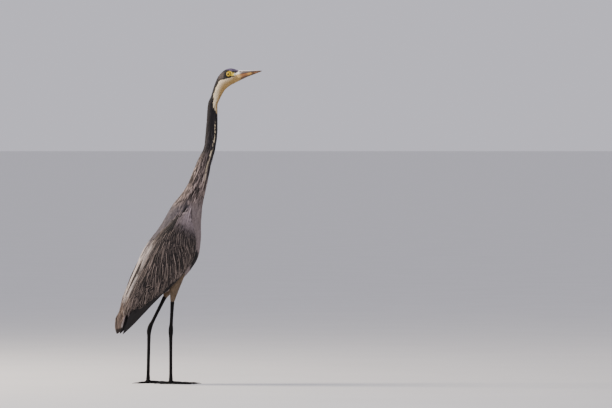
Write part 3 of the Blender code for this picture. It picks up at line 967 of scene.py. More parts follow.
@cache
def laying_tree():
    """Puts one feather on each point and bends it through the point's start, half and end places."""
    tree = bpy.data.node_groups.new("Lay feathers", "GeometryNodeTree")
    sockets = ("Geometry", "Collection", "Float", "Int", "Material")
    for name, kind in zip(("Geometry", "Feathers", "Width", "Seed", "Material"), sockets):
        tree.interface.new_socket(name, in_out="INPUT", socket_type="NodeSocket" + kind)
    tree.interface.new_socket("Geometry", in_out="OUTPUT", socket_type="NodeSocketGeometry")
    given = add(tree, "NodeGroupInput").outputs
    shapes = {"Collection": given["Feathers"], "Separate Children": True}
    shapes = add(tree, "GeometryNodeCollectionInfo", shapes).outputs[0]
    which = {"Seed": given["Seed"], 4: 0, 5: 1000}
    which = add(tree, "FunctionNodeRandomValue", which, data_type="INT").outputs[2]
    placed = {"Points": given["Geometry"], "Instance": shapes, "Pick Instance": True}
    placed = add(tree, "GeometryNodeInstanceOnPoints", {**placed, "Instance Index": which}).outputs[0]
    real = add(tree, "GeometryNodeRealizeInstances", {0: placed}).outputs[0]
    read = {}
    for name in (*CARRIED, "weights", "slopes", "vane", "place", "broad"):
        kind = "FLOAT" if name == "broad" else "FLOAT_VECTOR"
        read[name] = add(tree, "GeometryNodeInputNamedAttribute", {"Name": name}, data_type=kind).outputs[0]

    def blend(factors):
        """start, half and end mixed by the three numbers of a vector."""
        total = (0, 0, 0)
        for name, part in zip(CARRIED, add(tree, "ShaderNodeSeparateXYZ", {0: factors}).outputs):
            scaled = add(tree, "ShaderNodeVectorMath", {0: read[name], "Scale": part}, operation="SCALE")
            total = {0: total, 1: scaled.outputs[0]}
            total = add(tree, "ShaderNodeVectorMath", total, operation="ADD").outputs[0]
        return total

    here = {0: add(tree, "GeometryNodeInputPosition").outputs[0], 1: read["start"]}
    local = add(tree, "ShaderNodeVectorMath", here, operation="SUBTRACT").outputs[0]
    local = add(tree, "ShaderNodeSeparateXYZ", {0: local}).outputs
    ups = {0: local[0], 4: read["start_up"], 5: read["end_up"]}
    up = add(tree, "ShaderNodeMix", ups, data_type="VECTOR").outputs[1]
    along = blend(read["slopes"])
    wide = {0: read["broad"], 1: given["Width"]}
    wide = add(tree, "ShaderNodeMath", wide, operation="MULTIPLY").outputs[0]
    place = blend(read["weights"])
    side = add(tree, "ShaderNodeVectorMath", {0: up, 1: along}, operation="CROSS_PRODUCT").outputs[0]
    rise = add(tree, "ShaderNodeVectorMath", {0: along, 1: side}, operation="CROSS_PRODUCT").outputs[0]
    for way, amount in ((side, local[1]), (rise, local[2])):
        way = add(tree, "ShaderNodeVectorMath", {0: way}, operation="NORMALIZE").outputs[0]
        size = add(tree, "ShaderNodeMath", {0: amount, 1: wide}, operation="MULTIPLY").outputs[0]
        step = add(tree, "ShaderNodeVectorMath", {0: way, "Scale": size}, operation="SCALE").outputs[0]
        place = add(tree, "ShaderNodeVectorMath", {0: place, 1: step}, operation="ADD").outputs[0]
    last = add(tree, "GeometryNodeSetPosition", {"Geometry": real, "Position": place}).outputs[0]

    # Each feather's patch of the bake map is PATCH across, at its root's place.
    parts = add(tree, "ShaderNodeSeparateXYZ", {0: read["vane"]}).outputs
    turned = add(tree, "ShaderNodeCombineXYZ", {0: parts[1], 1: parts[0]}).outputs[0]
    patch = {0: turned, 1: (PATCH / 2, PATCH, 0), 2: read["place"]}
    patch = add(tree, "ShaderNodeVectorMath", patch, operation="MULTIPLY_ADD").outputs[0]
    stored = {"Geometry": last, "Name": "OFBake", "Value": patch}
    last = add(tree, "GeometryNodeStoreNamedAttribute", stored, data_type="FLOAT2", domain="CORNER")
    last = last.outputs[0]
    for name in (*CARRIED, "weights", "slopes", "place", "broad"):
        last = add(tree, "GeometryNodeRemoveAttribute", {"Geometry": last, "Name": name}).outputs[0]
    done = add(tree, "GeometryNodeSetMaterial", {"Geometry": last, "Material": given["Material"]})
    add(tree, "NodeGroupOutput", {0: done.outputs[0]})
    return tree


def lay_feathers(name, feathers, kind, finish, seed, replaced=()):
    """One piece of coat, from an array for each name that the tree reads and for tone and edge_tone."""
    mesh = bpy.data.meshes.new(name)
    count = len(feathers["start"])
    mesh.vertices.add(count)
    place_vertices(mesh, feathers["start"])
    for key in CARRIED:
        put_attribute(mesh, key, "FLOAT_VECTOR", feathers[key])
    put_attribute(mesh, "broad", "FLOAT", feathers["broad"])
    uv = feathers["place"]
    low, high = uv.min(0), uv.max(0)
    uv = 0.01 + 0.98 * (uv - low) / np.maximum(high - low, 1e-6)
    put_attribute(mesh, "place", "FLOAT_VECTOR", np.hstack([uv, np.zeros((count, 1))]))
    for key in ("tone", "edge_tone"):
        put_tone(mesh, feathers[key], key)
    obj = loose_object(name + "_roots", mesh)
    modifier = obj.modifiers.new("Lay", "NODES")
    modifier.node_group = laying_tree()
    values = {"Feathers": blanks(kind), "Width": 1.0, "Seed": seed, "Material": material(finish)}
    for item in modifier.node_group.interface.items_tree:
        if item.name in values:
            modifier[item.identifier] = values[item.name]
    laid = evaluated(obj)
    laid.shade_smooth()
    laid.set_sharp_from_angle(angle=math.radians(70))
    laid.name = name
    finish_piece(name, laid, None, replaced)


def lay_direction(points, normals):
    """The way that feathers lie at each point: back along the bird's middle line, or down the thigh."""
    way = line().tangents[line().nearest(points)]
    for side in SIDES:
        low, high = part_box("thigh_" + side)
        thigh = np.array(middle("thigh_" + side))
        on_thigh = ease(high.z - 25 * MM - points[:, 2], 0, 20 * MM) * (points[:, 2] > low.z - 5 * MM)
        on_thigh *= np.linalg.norm((points - thigh)[:, :2], axis=1) < 30 * MM
        way = mixed(way, unit(np.array(middle("leg_" + side)) - thigh), on_thigh)
    for side in SIDES:
        # Near an eye the feathers turn aside and pass round it.
        to_eye = np.array(EYE[side]) - points
        distance = np.linalg.norm(to_eye, axis=1, keepdims=True)
        to_eye /= distance
        towards = np.clip(dots(way, to_eye), 0, None)[:, None]
        way = way - to_eye * towards * 1.4 * (1 - ease(distance, 12 * MM, 19 * MM))
    return unit(level(way, normals))


def grown(points, normals, length, broad, sink, rng, yaw, lift, flow):
    """Feathers that start under the surface at the points and come up to it along the flow of the lay."""
    way = flow(points, normals)
    stray = rng.normal(0, yaw, (len(points), 1))
    heading = unit(way + np.cross(normals, way) * stray)
    length = length * rng.uniform(0.85, 1.15, len(points))
    feathers = {"start": points - normals * sink, "start_up": normals}
    here, up = points, normals
    for key, share in (("half", 0.35), ("end", 0.0)):
        here, up = coat_surface().nearest(here + heading * length[:, None] / 2)
        turned = flow(here, up)
        heading = unit(mixed(unit(level(heading, up)), turned + np.cross(up, turned) * stray, 0.7))
        raised = rng.uniform(-0.25, 0.0, (len(points), 1)) * MM + lift
        feathers[key] = here - up * sink * share + up * raised
    feathers["end_up"] = up
    feathers["broad"] = broad * rng.uniform(0.85, 1.15, len(points))
    feathers["place"] = line().unwrapped(points)
    return feathers


def coloured(feathers, rng, spread, pale=0.0):
    """Adds each feather's colours, read where it shows. The share pale is as light as the edges."""
    seen = feathers["half"] * 0.4 + feathers["end"] * 0.6
    base, edges = markings(seen)
    vary = np.clip(rng.normal(1, spread, (len(seen), 1)), 0.3, 2)
    light = (rng.random(len(seen)) < pale) * 0.85
    feathers["tone"] = mixed(base, edges, light) * vary
    feathers["edge_tone"] = edges * vary


def tinted(feathers, tone, edge, low, high):
    """Gives the feathers one colour, made darker or lighter by a factor between low and high."""
    vary = np.random.default_rng(shape().seed).uniform(low, high, (len(feathers["start"]), 1))
    feathers["tone"], feathers["edge_tone"] = tone * vary, edge * vary


def coat(name, nodes, spacing, length, broad, keep=None, kind="contour", finish="contour_feather", sink=4.0,
         yaw=0.12, lift=0.0, spread=0.1, stretch=1.0, flow=lay_direction, pale=0.0, slot="grey_plumage"):
    """A piece of coat over those nodes. Sizes are in millimetres, and most may be functions of places."""
    group = shape()
    seed = group.seed + sum(map(ord, name))
    rng = np.random.default_rng(seed)
    choose = keep or (lambda points, normals: np.ones(len(points), bool))
    gap = spacing * group.feather_gap * MM
    points, normals = coat_surface().scattered(nodes, gap, choose, seed, stretch)
    length, broad, sink = (
        (v(points) if callable(v) else np.full(len(points), float(v))) * MM for v in (length, broad, sink)
    )
    length = length * group.feather_length
    feathers = grown(points, normals, length, broad, sink[:, None], rng, yaw, lift * MM, flow)
    coloured(feathers, rng, spread, pale)
    lay_feathers(name, feathers, kind, finish, seed)


# ---------------------------------------------------------------- skin, lids, eyes


COAT_DEPTH = {"head": 1.3, "neck": 2.5, "trunk": 4.0, "wing": 3.5, "thigh": 2.5}  # millimetres
THIN_SHARE = 0.3  # the most of a thin part's thickness that the coat takes up on each side
WING_FLESH = 0.66  # share of the folded wing's length that its bones and skin reach
CORNEA = 0.35 * MM  # how far the clear front of the eye stands out
LID_OUTER = 9.0  # radius at which the lids run out into the skin, in millimetres


def flesh_shell():
    """The outline of the coat over the flesh: the wings end where their bones do."""
    bm = merged_copy([n for n in FLESH if not n.startswith("wing")])
    for side in SIDES:
        flesh = merged_copy(["wing_" + side])
        folded = wing(side)
        end = folded.root + folded.axis * folded.length * WING_FLESH
        geometry = flesh.verts[:] + flesh.edges[:] + flesh.faces[:]
        bmesh.ops.bisect_plane(flesh, geom=geometry, plane_co=end, plane_no=folded.axis, clear_outer=True)
        bmesh.ops.holes_fill(flesh, edges=[e for e in flesh.edges if e.is_boundary])
        bm.from_mesh(mesh_from(flesh, "wing_flesh"))
    return remeshed(bm, shape().voxel)


def smoothed_values(mesh, values, rounds):
    """Values at the vertices, evened out over their neighbours."""
    edges = np.empty(len(mesh.edges) * 2, np.int32)
    mesh.edges.foreach_get("vertices", edges)
    a, b = edges.reshape(-1, 2).T
    count = np.bincount(a, minlength=len(values)) + np.bincount(b, minlength=len(values))
    for _ in range(rounds):
        total = np.bincount(a, values[b], len(values)) + np.bincount(b, values[a], len(values))
        values = 0.5 * values + 0.5 * total / np.maximum(count, 1)
    return values


def sink_skin(mesh):
    """Moves the shell in by the coat's depth, and by less where the body is thin."""
    points, normals = points_of(mesh), normals_of(mesh)
    depths = np.array([COAT_DEPTH[n.split("_")[0]] for n in FLESH]) * MM
    depth = depths[nearest_node(points, FLESH)]
    ahead = in_head(points)[:, 0]
    depth *= np.where(points[:, 2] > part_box("head")[0].z, 1 - 0.7 * ease(ahead, 10, 22), 1)
    tree = face_tree(mesh)
    for i, (point, normal) in enumerate(zip(points, normals)):
        through = tree.ray_cast(Vector(point - normal * 0.3 * MM), Vector(-normal))[3]
        if through is not None:
            depth[i] = min(depth[i], THIN_SHARE * through)
    depth = smoothed_values(mesh, depth, 6)
    place_vertices(mesh, points - normals * depth[:, None])
    with edited(mesh) as bm:
        relax(bm, bm.verts, 0.4, 3)


def bare_face(points):
    """1 where the face has no feathers: the lores and a ring round each eye."""
    up = in_head(points)[:, 2]
    reach = 8.9 - 0.9 * ease(-up, 1, 6) + 0.35 * rough(points, 2.5 * MM)
    ring = 1 - ease(eye_distance(points) - reach, 0.0, 0.7)
    return np.maximum(ring, lore_mask(points))


def face_relief(points):
    """How far the finely modelled skin of the face stands out, in millimetres: furrows, lores and gape."""
    ahead, _, up = in_head(points).T
    round_eye = eye_distance(points)
    furrows = 0.16 * np.sin(round_eye * 4.2 + 2 * rough(points, 3 * MM))
    furrows *= ease(round_eye, 8.3, 9) * (1 - ease(round_eye, 11, 14))
    lores = lore_mask(points) * (0.22 * rough(points, 1.6 * MM) - 0.7 * ease(ahead, 8, 12))
    gape_height = np.interp(ahead, (0, 24), (-9.5, -2.4))
    gape = -0.9 * np.exp(-(((up - gape_height) / 0.7) ** 2)) * ease(ahead, -1, 5)
    return furrows + lores + gape


def model_face(mesh):
    """Divides the skin round the eyes and lores and gives it its relief."""
    with edited(mesh) as bm:
        ahead, left, up = in_head(np.array([f.calc_center_median() for f in bm.faces])).T
        inside = (ahead > -13) & (ahead < 30) & (up > -14) & (up < 11) & (np.abs(left) > 3)
        edges = {e for f, yes in zip(bm.faces, inside) if yes for e in f.edges}
        fine = bmesh.ops.subdivide_edges(bm, edges=list(edges), cuts=2, use_grid_fill=True)
        verts = [g for g in fine["geom_inner"] if isinstance(g, bmesh.types.BMVert)]
        relax(bm, verts, 0.5, 4)
        bm.normal_update()
        relief = face_relief(np.array([v.co for v in verts]))
        for vert, out in zip(verts, relief):
            vert.co += vert.normal * float(out) * MM
        bmesh.ops.triangulate(bm, faces=[f for f in bm.faces if len(f.verts) > 4])


def eye_axes(side):
    """The eye's own directions: out of its pupil, ahead, and up. A heron's eyes look a little forwards."""
    out = (HEAD_LEFT * SIDES[side] + HEAD_AHEAD * 0.14).normalized()
    up = (Vector((0, 0, 1)) - out * out.z).normalized()
    ahead = up.cross(out) * SIDES[side]
    return np.array(out), np.array(ahead), np.array(up)


def lids(side, skin_tree):
    """A ring of lid skin round one eye: its margin lies on the eyeball, and its foot runs into the face."""
    out, ahead, up = eye_axes(side)
    centre = np.array(EYE[side])
    ball = EYE_RADIUS / MM
    opening = shape().eye_opening / MM

    def over_ball(radius, rise):
        return math.sqrt(max(ball**2 - radius**2, 0)) + rise

    rings = []
    for turn in np.linspace(0, math.tau, 56, endpoint=False):
        way = ahead * math.cos(turn) + up * math.sin(turn)
        upper = max(math.sin(turn), 0)
        edge = opening * (1 + 0.05 * math.cos(2 * turn) - 0.05 * upper)
        thick = 0.35 + 0.3 * upper
        outside = centre + (way * LID_OUTER + out * 30) * MM
        hit = skin_tree.ray_cast(Vector(outside), Vector(-out))[0]
        base = (np.array(hit) - centre) @ out / MM if hit else 0
        profile = [(edge - 0.3, over_ball(edge - 0.3, -0.5)), (edge, over_ball(edge, thick * 0.7))]
        for share in (0.12, 0.3, 0.5, 0.7, 0.88):
            radius = edge + (LID_OUTER - edge) * share
            lid = over_ball(radius, thick + 0.16 * math.sin(share * 19))
            profile.append((radius, lid + (base - lid) * float(ease(share, 0.05, 0.7))))
        profile += [(LID_OUTER, base - 0.3), (LID_OUTER, base - 2.5), (edge + 1, min(base, 2) - 2.5)]
        rings.append([centre + (way * radius + out * height) * MM for radius, height in profile])
    bm = bmesh.new()
    lofted(bm, rings, "joined")
    return mesh_from(bm, "lids")


def leg_shell(side):
    """One bare leg and its foot, with a stub that runs up into the thigh."""
    bm = merged_copy(("leg_" + side, "foot_" + side))
    leg = cad_points("leg_" + side)
    top = leg[leg[:, 2] > leg[:, 2].max() - 8 * MM].mean(0)
    way = Vector(np.array(middle("thigh_" + side)) - top).normalized()
    stub = 26 * MM
    turn = way.to_track_quat("Z", "Y").to_matrix().to_4x4()
    turn.translation = Vector(top) + way * stub / 2
    ends = {"radius1": 5.2 * MM, "radius2": 3.5 * MM}
    bmesh.ops.create_cone(bm, cap_ends=True, segments=16, depth=stub, matrix=turn, **ends)
    mesh = remeshed(bm, 1.0 * MM)
    points = points_of(mesh)
    points[:, 2] = np.maximum(points[:, 2], 0)
    place_vertices(mesh, points)
    return mesh


def leg_tones(points):
    """Black legs, with worn spots of two sizes."""
    wear = 1 + 0.35 * rough(points, 9 * MM) + 0.15 * rough(points, 2 * MM)
    return colours()["leg"] * wear[:, None]


def face_tones(points):
    """Yellow round the eye, whitish on the lore, with a dark lid margin."""
    tone = colours()
    base = mixed(tone["bare"], tone["lore"], ease(in_head(points)[:, 0], 15, 20))
    margin = 1 - ease(eye_distance(points), 8.35, 8.6)
    base = mixed(base, tone["bare"] * 0.35, margin)
    return base * (1 + 0.18 * rough(points, 2.5 * MM))[:, None]


def build_skin():
    shell = flesh_shell()
    sink_skin(shell)
    model_face(shell)
    tree = face_tree(shell)
    skin = united(shell, *[lids(s, tree) for s in SIDES], *[leg_shell(s) for s in SIDES])
    skin.name = "skin"
    points = points_of(skin)
    tones = mixed(markings(points)[0] * 0.8, face_tones(points), bare_face(points))
    put_tone(skin, np.where(below_thighs(points)[:, None], leg_tones(points), tones))
    skin.materials.clear()
    for name in ("feathered_skin", "bare_face_skin", "scaly_skin"):
        skin.materials.append(material(name))
    centres = vectors_of(skin.polygons, "center")
    slots = np.where(bare_face(centres) > 0.5, 1, 0)
    slots[below_thighs(centres)] = 2
    skin.polygons.foreach_set("material_index", slots.astype(np.int32))
    skin.shade_smooth()
    finish_piece("skin", skin, None, FLESH + LIMBS)


def below_thighs(points):
    """True on the bare legs and feet."""
    return nearest_node(points, FLESH + LIMBS) >= len(FLESH)


def build_eye(side):
    """An eyeball with a raised clear front, and the pupil and iris in its colours."""
    out, ahead, up = eye_axes(side)
    centre = np.array(EYE[side])
    turns = np.linspace(0, math.tau, 48, endpoint=False)
    circle = [ahead * math.cos(t) + up * math.sin(t) for t in turns]
    rings = []
    for angle in np.radians([*np.linspace(2, 60, 30), *np.linspace(66, 174, 19)]):
        radius = EYE_RADIUS + CORNEA * math.exp(-((math.degrees(angle) / 33) ** 4))
        rings.append([centre + (out * math.cos(angle) + way * math.sin(angle)) * radius for way in circle])
    bm = bmesh.new()
    loops = lofted(bm, rings, "open")
    for loop, height in ((loops[0], EYE_RADIUS + CORNEA), (loops[-1], -EYE_RADIUS)):
        pole = bm.verts.new(centre + out * height)
        for k, corner in enumerate(loop):
            bm.faces.new((corner, loop[(k + 1) % len(loop)], pole))
    bmesh.ops.recalc_face_normals(bm, faces=bm.faces)
    mesh = mesh_from(bm, "eyeball")
    away = points_of(mesh) - centre
    off = np.degrees(np.arccos(np.clip(away @ out / np.linalg.norm(away, axis=1), -1, 1)))
    around = np.arctan2(away @ up, away @ ahead)
    iris = colours()["iris"]
    tone = mixed(iris, iris * 0.6, ease(off, 38, 46))
    tone = mixed(tone, iris * 0.45, 1 - ease(off, 23, 28))
    pupil = np.full(3, 0.001)
    put_tone(mesh, mixed(tone, pupil, 1 - ease(off, 21.5, 23)))
    vane = np.stack([off / 45, np.abs(around) / math.pi, 0 * off], 1)
    put_attribute(mesh, "vane", "FLOAT_VECTOR", vane)
    mesh.shade_smooth()
    finish_piece("eyeball_" + side, mesh, "wet_eye", ("eye_" + side,))


# ---------------------------------------------------------------- bill, claws, scales


BILL_ROOT = 5.0  # millimetres of the bill that run into the head
CLAW_PUSH = 3  # millimetres that the root of a claw is pushed into its toe
NOSTRIL = 15.0  # millimetres from the root of the bill to the middle of the nostril
GROOVE_ANGLE = 0.72  # radians from the ridge of the bill to its groove


def bill_measures(node, aheads, upper):
    """(top, bottom, half width) of the CAD bill at those places ahead of the eyes, in millimetres."""
    tree, _ = solid_tree(node)
    measures = []
    for ahead in aheads:
        top = tree.ray_cast(Vector(from_head(ahead, 0, 60)), DOWN)[0]
        bottom = tree.ray_cast(Vector(from_head(ahead, 0, -60)), -DOWN)[0]
        high, low = in_head([top, bottom])[:, 2]
        near_mouth = low + 0.05 if upper else high - 0.05
        side = tree.ray_cast(Vector(from_head(ahead, 60, near_mouth)), -HEAD_LEFT)[0]
        measures.append((high, low, abs(in_head([side])[0, 1]) if side else 0.3))
    return measures


def bill_section(measure, ahead, share, from_root, upper):
    """One ring of half the bill, and the places of its points: along, round, and ahead of the eyes."""
    high, low, wide = measure
    shrink = 0.95 + 0.05 * float(ease(from_root, 0, 7)) if from_root >= 0 else 0.8
    past = from_root - NOSTRIL
    nostril = float(ease(past, -5, -3.5) * (1 - ease(past, 3, 5)))
    groove = 0.42 * float((1 - ease(share, 0.5, 0.75)) * ease(share, 0, 0.06))
    ring, places = [], []
    for angle in np.linspace(0, math.pi, 33):
        c, h = math.cos(angle), math.sin(angle)
        off_ridge = abs(angle - math.pi / 2)
        off_groove = abs(off_ridge - GROOVE_ANGLE)
        cut = groove * math.exp(-((off_groove / 0.10) ** 2))
        if upper:
            cut += 1.3 * nostril * math.exp(-((off_groove / 0.07) ** 2))
        size = shrink * (1 - min(0.9, cut / max(wide + 0.5, 1)))
        ridge = 0.25 * math.exp(-((off_ridge / 0.22) ** 2)) * (1 - 0.6 * share)
        deep = (high - low) * h**1.15 * size + ridge * h
        ring.append(from_head(ahead, wide * c * size, low + deep if upper else high - deep))
        places.append((share, angle / math.pi, ahead))
    mouth = low + 0.35 * min(1, wide) if upper else high - 0.35 * min(1, wide)
    for c in (-0.8, 0, 0.8):
        ring.append(from_head(ahead, wide * c * shrink, mouth))
        places.append((share, 0.5 + c / 2, ahead))
    return ring, places


def bill_tones(places, along, nostril, upper):
    """The horn's colours from its places along, round and ahead."""
    dark, pale, warm, top = (colours()["bill_" + part] for part in ("dark", "pale", "warm", "top"))
    ridge = np.sin(places[:, 1] * math.pi)  # 0 at the mouth, 1 on the ridge or the keel
    if upper:
        # Pale grey on the ridge as a painted highlight of the sky, pale grey at the root, dark purplish
        # brown along the mouth, black nostrils.
        tone = mixed(dark, top, ease(ridge, 0.80, 0.93))
        tone = mixed(tone, top * 0.8, (1 - ease(along, 0.12, 0.26)) * (1 - ease(ridge, 0.8, 0.93)))
        tone = mixed(tone, dark * 1.6, ease(along, 0.80, 0.95) * 0.8)
        off_groove = (np.abs(places[:, 1] - 0.5) * math.pi - GROOVE_ANGLE) / 0.22
        tone[off_groove**2 + ((places[:, 2] - nostril) / 4.6) ** 2 < 1] = dark * 0.15
        return tone
    # Cream at the root, then orange brown with a golden and a darker stretch, and a dark keel that is
    # painted shade under the bill.
    tone = mixed(pale, warm * np.array([1.12, 0.94, 0.9]), ease(along, 0.10, 0.24))
    golden = pale * np.array([0.85, 0.68, 0.4])
    tone = mixed(tone, golden, ease(along, 0.40, 0.5) * (1 - ease(along, 0.66, 0.72)))
    tone = mixed(tone, dark * 1.2, ease(along, 0.56, 0.62) * (1 - ease(along, 0.68, 0.76)) * 0.8)
    tone = mixed(tone, warm * 0.5, ease(along, 0.76, 0.9))
    # Painted shade along the keel, under the bill.
    return mixed(tone, warm * 0.25, ease(ridge, 0.55, 0.85) * 0.9)


def build_bill(upper):
    """One half of the bill, lofted with its ridge, its groove and, in the upper half, its nostrils."""
    node = "bill_upper" if upper else "bill_lower"
    solid = in_head(cad_points(node))[:, 0]
    first, last = solid.min() + 0.6, solid.max() - 0.4
    share = np.linspace(0, 1, 110)
    aheads = first + (last - first) * share
    measures = bill_measures(node, aheads, upper)
    rings, places = [], []
    for ahead, s, measure in [(first - BILL_ROOT, 0.0, measures[0]), *zip(aheads, share, measures)]:
        ring, at = bill_section(measure, ahead, s, ahead - first, upper)
        rings.append(ring)
        places += at
    bm = bmesh.new()
    lofted(bm, rings)
    mesh = mesh_from(bm, node)
    places = np.array(places)
    along = places[:, 0] + 0.05 * rough(points_of(mesh), 9 * MM)
    put_tone(mesh, bill_tones(places, along, first + NOSTRIL, upper))
    put_attribute(mesh, "vane", "FLOAT_VECTOR", places * (1, 1, 0))
    mesh.shade_smooth()
    mesh.set_sharp_from_angle(angle=math.radians(55))
    finish_piece("horn_" + node, mesh, "bill_horn", (node,))


def build_claws():
    """The eight claws, rounded, each pushed into its toe so that the rounding leaves no gap."""
    nodes = tuple(f"claw_{toe}_{side}" for side in SIDES for toe in TOES)
    obj = loose_object("claws_rough", mesh_from(merged_copy(nodes, 0), "claws"))
    rounder = obj.modifiers.new("Round", "SUBSURF")
    rounder.levels = rounder.render_levels = 2
    mesh = evaluated(obj)
    points = points_of(mesh)
    owner = nearest_node(points, nodes)
    for i, node in enumerate(nodes):
        back = (np.array(middle("foot_" + node.split("_")[-1])) - points[owner == i]) * (1, 1, 0)
        away = np.linalg.norm(back, axis=1)[:, None]
        near = 1 - (away - away.min()) / (away.max() - away.min())
        points[owner == i] += back / away * near**2 * CLAW_PUSH * MM
    place_vertices(mesh, points)
    put_tone(mesh, colours()["leg"] * (1.2 + 0.4 * rough(points, 4 * MM))[:, None])
    put_attribute(mesh, "vane", "FLOAT_VECTOR", points * 40)
    mesh.shade_smooth()
    finish_piece("claws", mesh, "claw_horn", nodes)


def leg_line(side):
    """Places down the middle of one leg's skin, from under the thigh to above the foot."""
    skin = points_of(bpy.data.objects["skin"].data)
    leg = skin[nearest_node(skin, FLESH + LIMBS) == (FLESH + LIMBS).index("leg_" + side)]
    heights = np.linspace(leg[:, 2].max(), leg[:, 2].min(), 40)
    slice_half = max(1.2 * (heights[0] - heights[-1]) / len(heights), 3 * MM)
    middles = []
    for height in heights[4:-1]:
        near = leg[np.abs(leg[:, 2] - height) < slice_half]
        middles.append([*(near.min(0) + near.max(0))[:2] / 2, height])
    return np.array(middles)


def build_plates():
    """Overlapping horny plates down the front of each leg."""
    length, broad = 3.5, 3.6  # millimetres
    feathers = {key: [] for key in (*CARRIED, "broad", "place")}
    shells = solid_tree(*LIMBS)[0]
    for side in SIDES:
        middles = leg_line(side)
        span = np.linalg.norm(middles[-1] - middles[0])
        at = np.linspace(0, len(middles) - 1.01, int(span / (length * 0.8 * MM)))
        path = np.stack([np.interp(at, np.arange(len(middles)), row) for row in middles.T], 1)
        for place, way in zip(path, unit(np.gradient(path, axis=0))):
            up = unit(np.array([1.0, 0, 0]) - way * way[0])
            top = []
            for shift, deep in ((0, 2.15), (0.5, 1.7), (1.0, 1.35)):
                origin = place + way * shift * length * 1.25 * MM + up * 0.03
                hit = shells.ray_cast(Vector(origin), Vector(-up))[0]
                if hit:
                    top.append(np.array(hit) - up * deep * MM)
            if len(top) < 3:
                continue
            for key, value in zip(CARRIED, (*top, up, up)):
                feathers[key].append(value)
            feathers["broad"].append(broad * MM)
            feathers["place"].append((top[0][0] + top[0][1], top[0][2]))
    feathers = {key: np.array(value) for key, value in feathers.items()}
    tinted(feathers, colours()["leg"], colours()["leg"] * 0.6, 0.8, 1.5)
    lay_feathers("leg_plates", feathers, "scute", "leg_scute", shape().seed)


# ---------------------------------------------------------------- the coat


class Wing:
    """The folded wing from its side: u runs from its bend to its end, and v from its lower edge up."""

    def __init__(self, side):
        points = cad_points("wing_" + side)
        top, bottom = points[:, 2].max(), points[:, 2].min()
        self.sign = SIDES[side]
        self.root = points[points[:, 2] > top - 12 * MM].mean(0)
        end = points[points[:, 2] < bottom + 8 * MM].mean(0)
        flat = (end - self.root) * np.array([1, 0, 1])
        self.length = np.linalg.norm(flat)
        self.axis = flat / self.length
        self.up = np.array([self.axis[2], 0, -self.axis[0]])
        away = points - self.root
        u, v = away @ self.axis / self.length, away @ self.up
        self.steps = np.linspace(0, 1, 21)
        self.low = np.array([v[np.abs(u - s) < 0.05].min() for s in self.steps])
        self.high = np.array([v[np.abs(u - s) < 0.05].max() for s in self.steps])

    def edges(self, u):
        """How far the lower and the upper edge lie from the axis at u."""
        return np.interp(u, self.steps, self.low), np.interp(u, self.steps, self.high)

    def shares(self, points):
        """(u, v) of each point, with v from 0 at the lower edge to 1 at the upper."""
        away = points - self.root
        u = away @ self.axis / self.length
        low, high = self.edges(u)
        return u, (away @ self.up - low) / (high - low)

    def edge_place(self, u):
        """The upper edge of the wing's outline at u, in the plane of the wing's side view."""
        return self.root + self.axis * u * self.length + self.up * self.edges(u)[1]

    def places(self, u, v):
        """Where the outer face of the coat is at (u, v), and the normal there."""
        low, high = self.edges(u)
        rise = low + (high - low) * v
        origins = self.root + self.axis * (u * self.length)[:, None] + self.up * rise[:, None]
        origins[:, 1] = self.root[1] + self.sign * RAY_START
        way = np.tile([0, -self.sign, 0], (len(u), 1))
        return coat_surface().cast(origins, way)


@cache
def wing(side):
    return Wing(side)


def wing_row(side, u, v, sink, broad):
    """Long feathers through three places on the wing. u and v hold the start, middle and end of each."""
    feathers, normals = {}, []
    for key, u_at, v_at, deep in zip(CARRIED, u, v, sink):
        places, normal = wing(side).places(u_at, v_at)
        normals.append(unit(normal * np.array([0.6, 1, 0.6])))
        feathers[key] = places - normals[-1] * deep[:, None] * MM
    feathers["start_up"], feathers["end_up"] = normals[0], normals[2]
    feathers["broad"] = np.full(len(u[0]), broad * MM)
    feathers["place"] = line().unwrapped(feathers["half"])
    return feathers


def joined_rows(rows):
    return {key: np.concatenate([row[key] for row in rows]) for key in rows[0]}


def build_flight_feathers():
    """Secondaries and tertials of both wings, in rows that overlap upwards."""
    rows, shades = [], []
    for side in SIDES:
        for count, v0, v1, first, sink, broad, shade in (
            (13, 0.10, 0.56, 0.34, 3.8, 9, 0.8),  # secondaries
            (7, 0.50, 0.93, 0.38, 3.4, 12, 1.0),  # tertials
        ):
            share = np.linspace(0, 1, count)
            v = v0 + (v1 - v0) * share
            start = first + 0.06 * share
            reach = (0.52, 0.67, 0.78, 0.87, 0.91, 0.93, 0.985)
            end = np.interp(v, (0.05, 0.10, 0.16, 0.25, 0.38, 0.50, 0.93), reach)
            deep = sink - share * 0.9
            along, depths = (start, (start + end) / 2, end), (deep + 1.5, deep, deep - 0.8)
            rows.append(wing_row(side, along, (v, v, v), depths, broad))
            shades.append(np.full((count, 1), shade))
    feathers = joined_rows(rows)
    seed = shape().seed
    coloured(feathers, np.random.default_rng(seed), 0.06)
    for key in ("tone", "edge_tone"):
        feathers[key] *= np.concatenate(shades)
    lay_feathers("wing_quills", feathers, "flight", "flight_feather", seed)


def primary_tips(side, share):
    """The tips of the primaries, stepped up along the back edge, where the tail hides them."""
    node = "primaries_" + side
    tree, solid = solid_tree(node)[0], cad_points(node)
    tips = []
    for s in share:
        z = solid[:, 2].min() + (1.5 + 38 * s**1.2) * MM
        near = solid[np.abs(solid[:, 2] - z) < 9 * MM]
        y = near[:, 1].mean()
        hits = [tree.ray_cast(Vector((way * RAY_START, y, z)), Vector((-way, 0, 0)))[0] for way in (1, -1)]
        front, behind = (hit.x if hit else x for hit, x in zip(hits, (near[:, 0].max(), near[:, 0].min())))
        tips.append((front - (0.44 + 0.14 * s) * (front - behind), y - SIDES[side] * (1 - 2 * s) * MM, z))
    return np.array(tips)


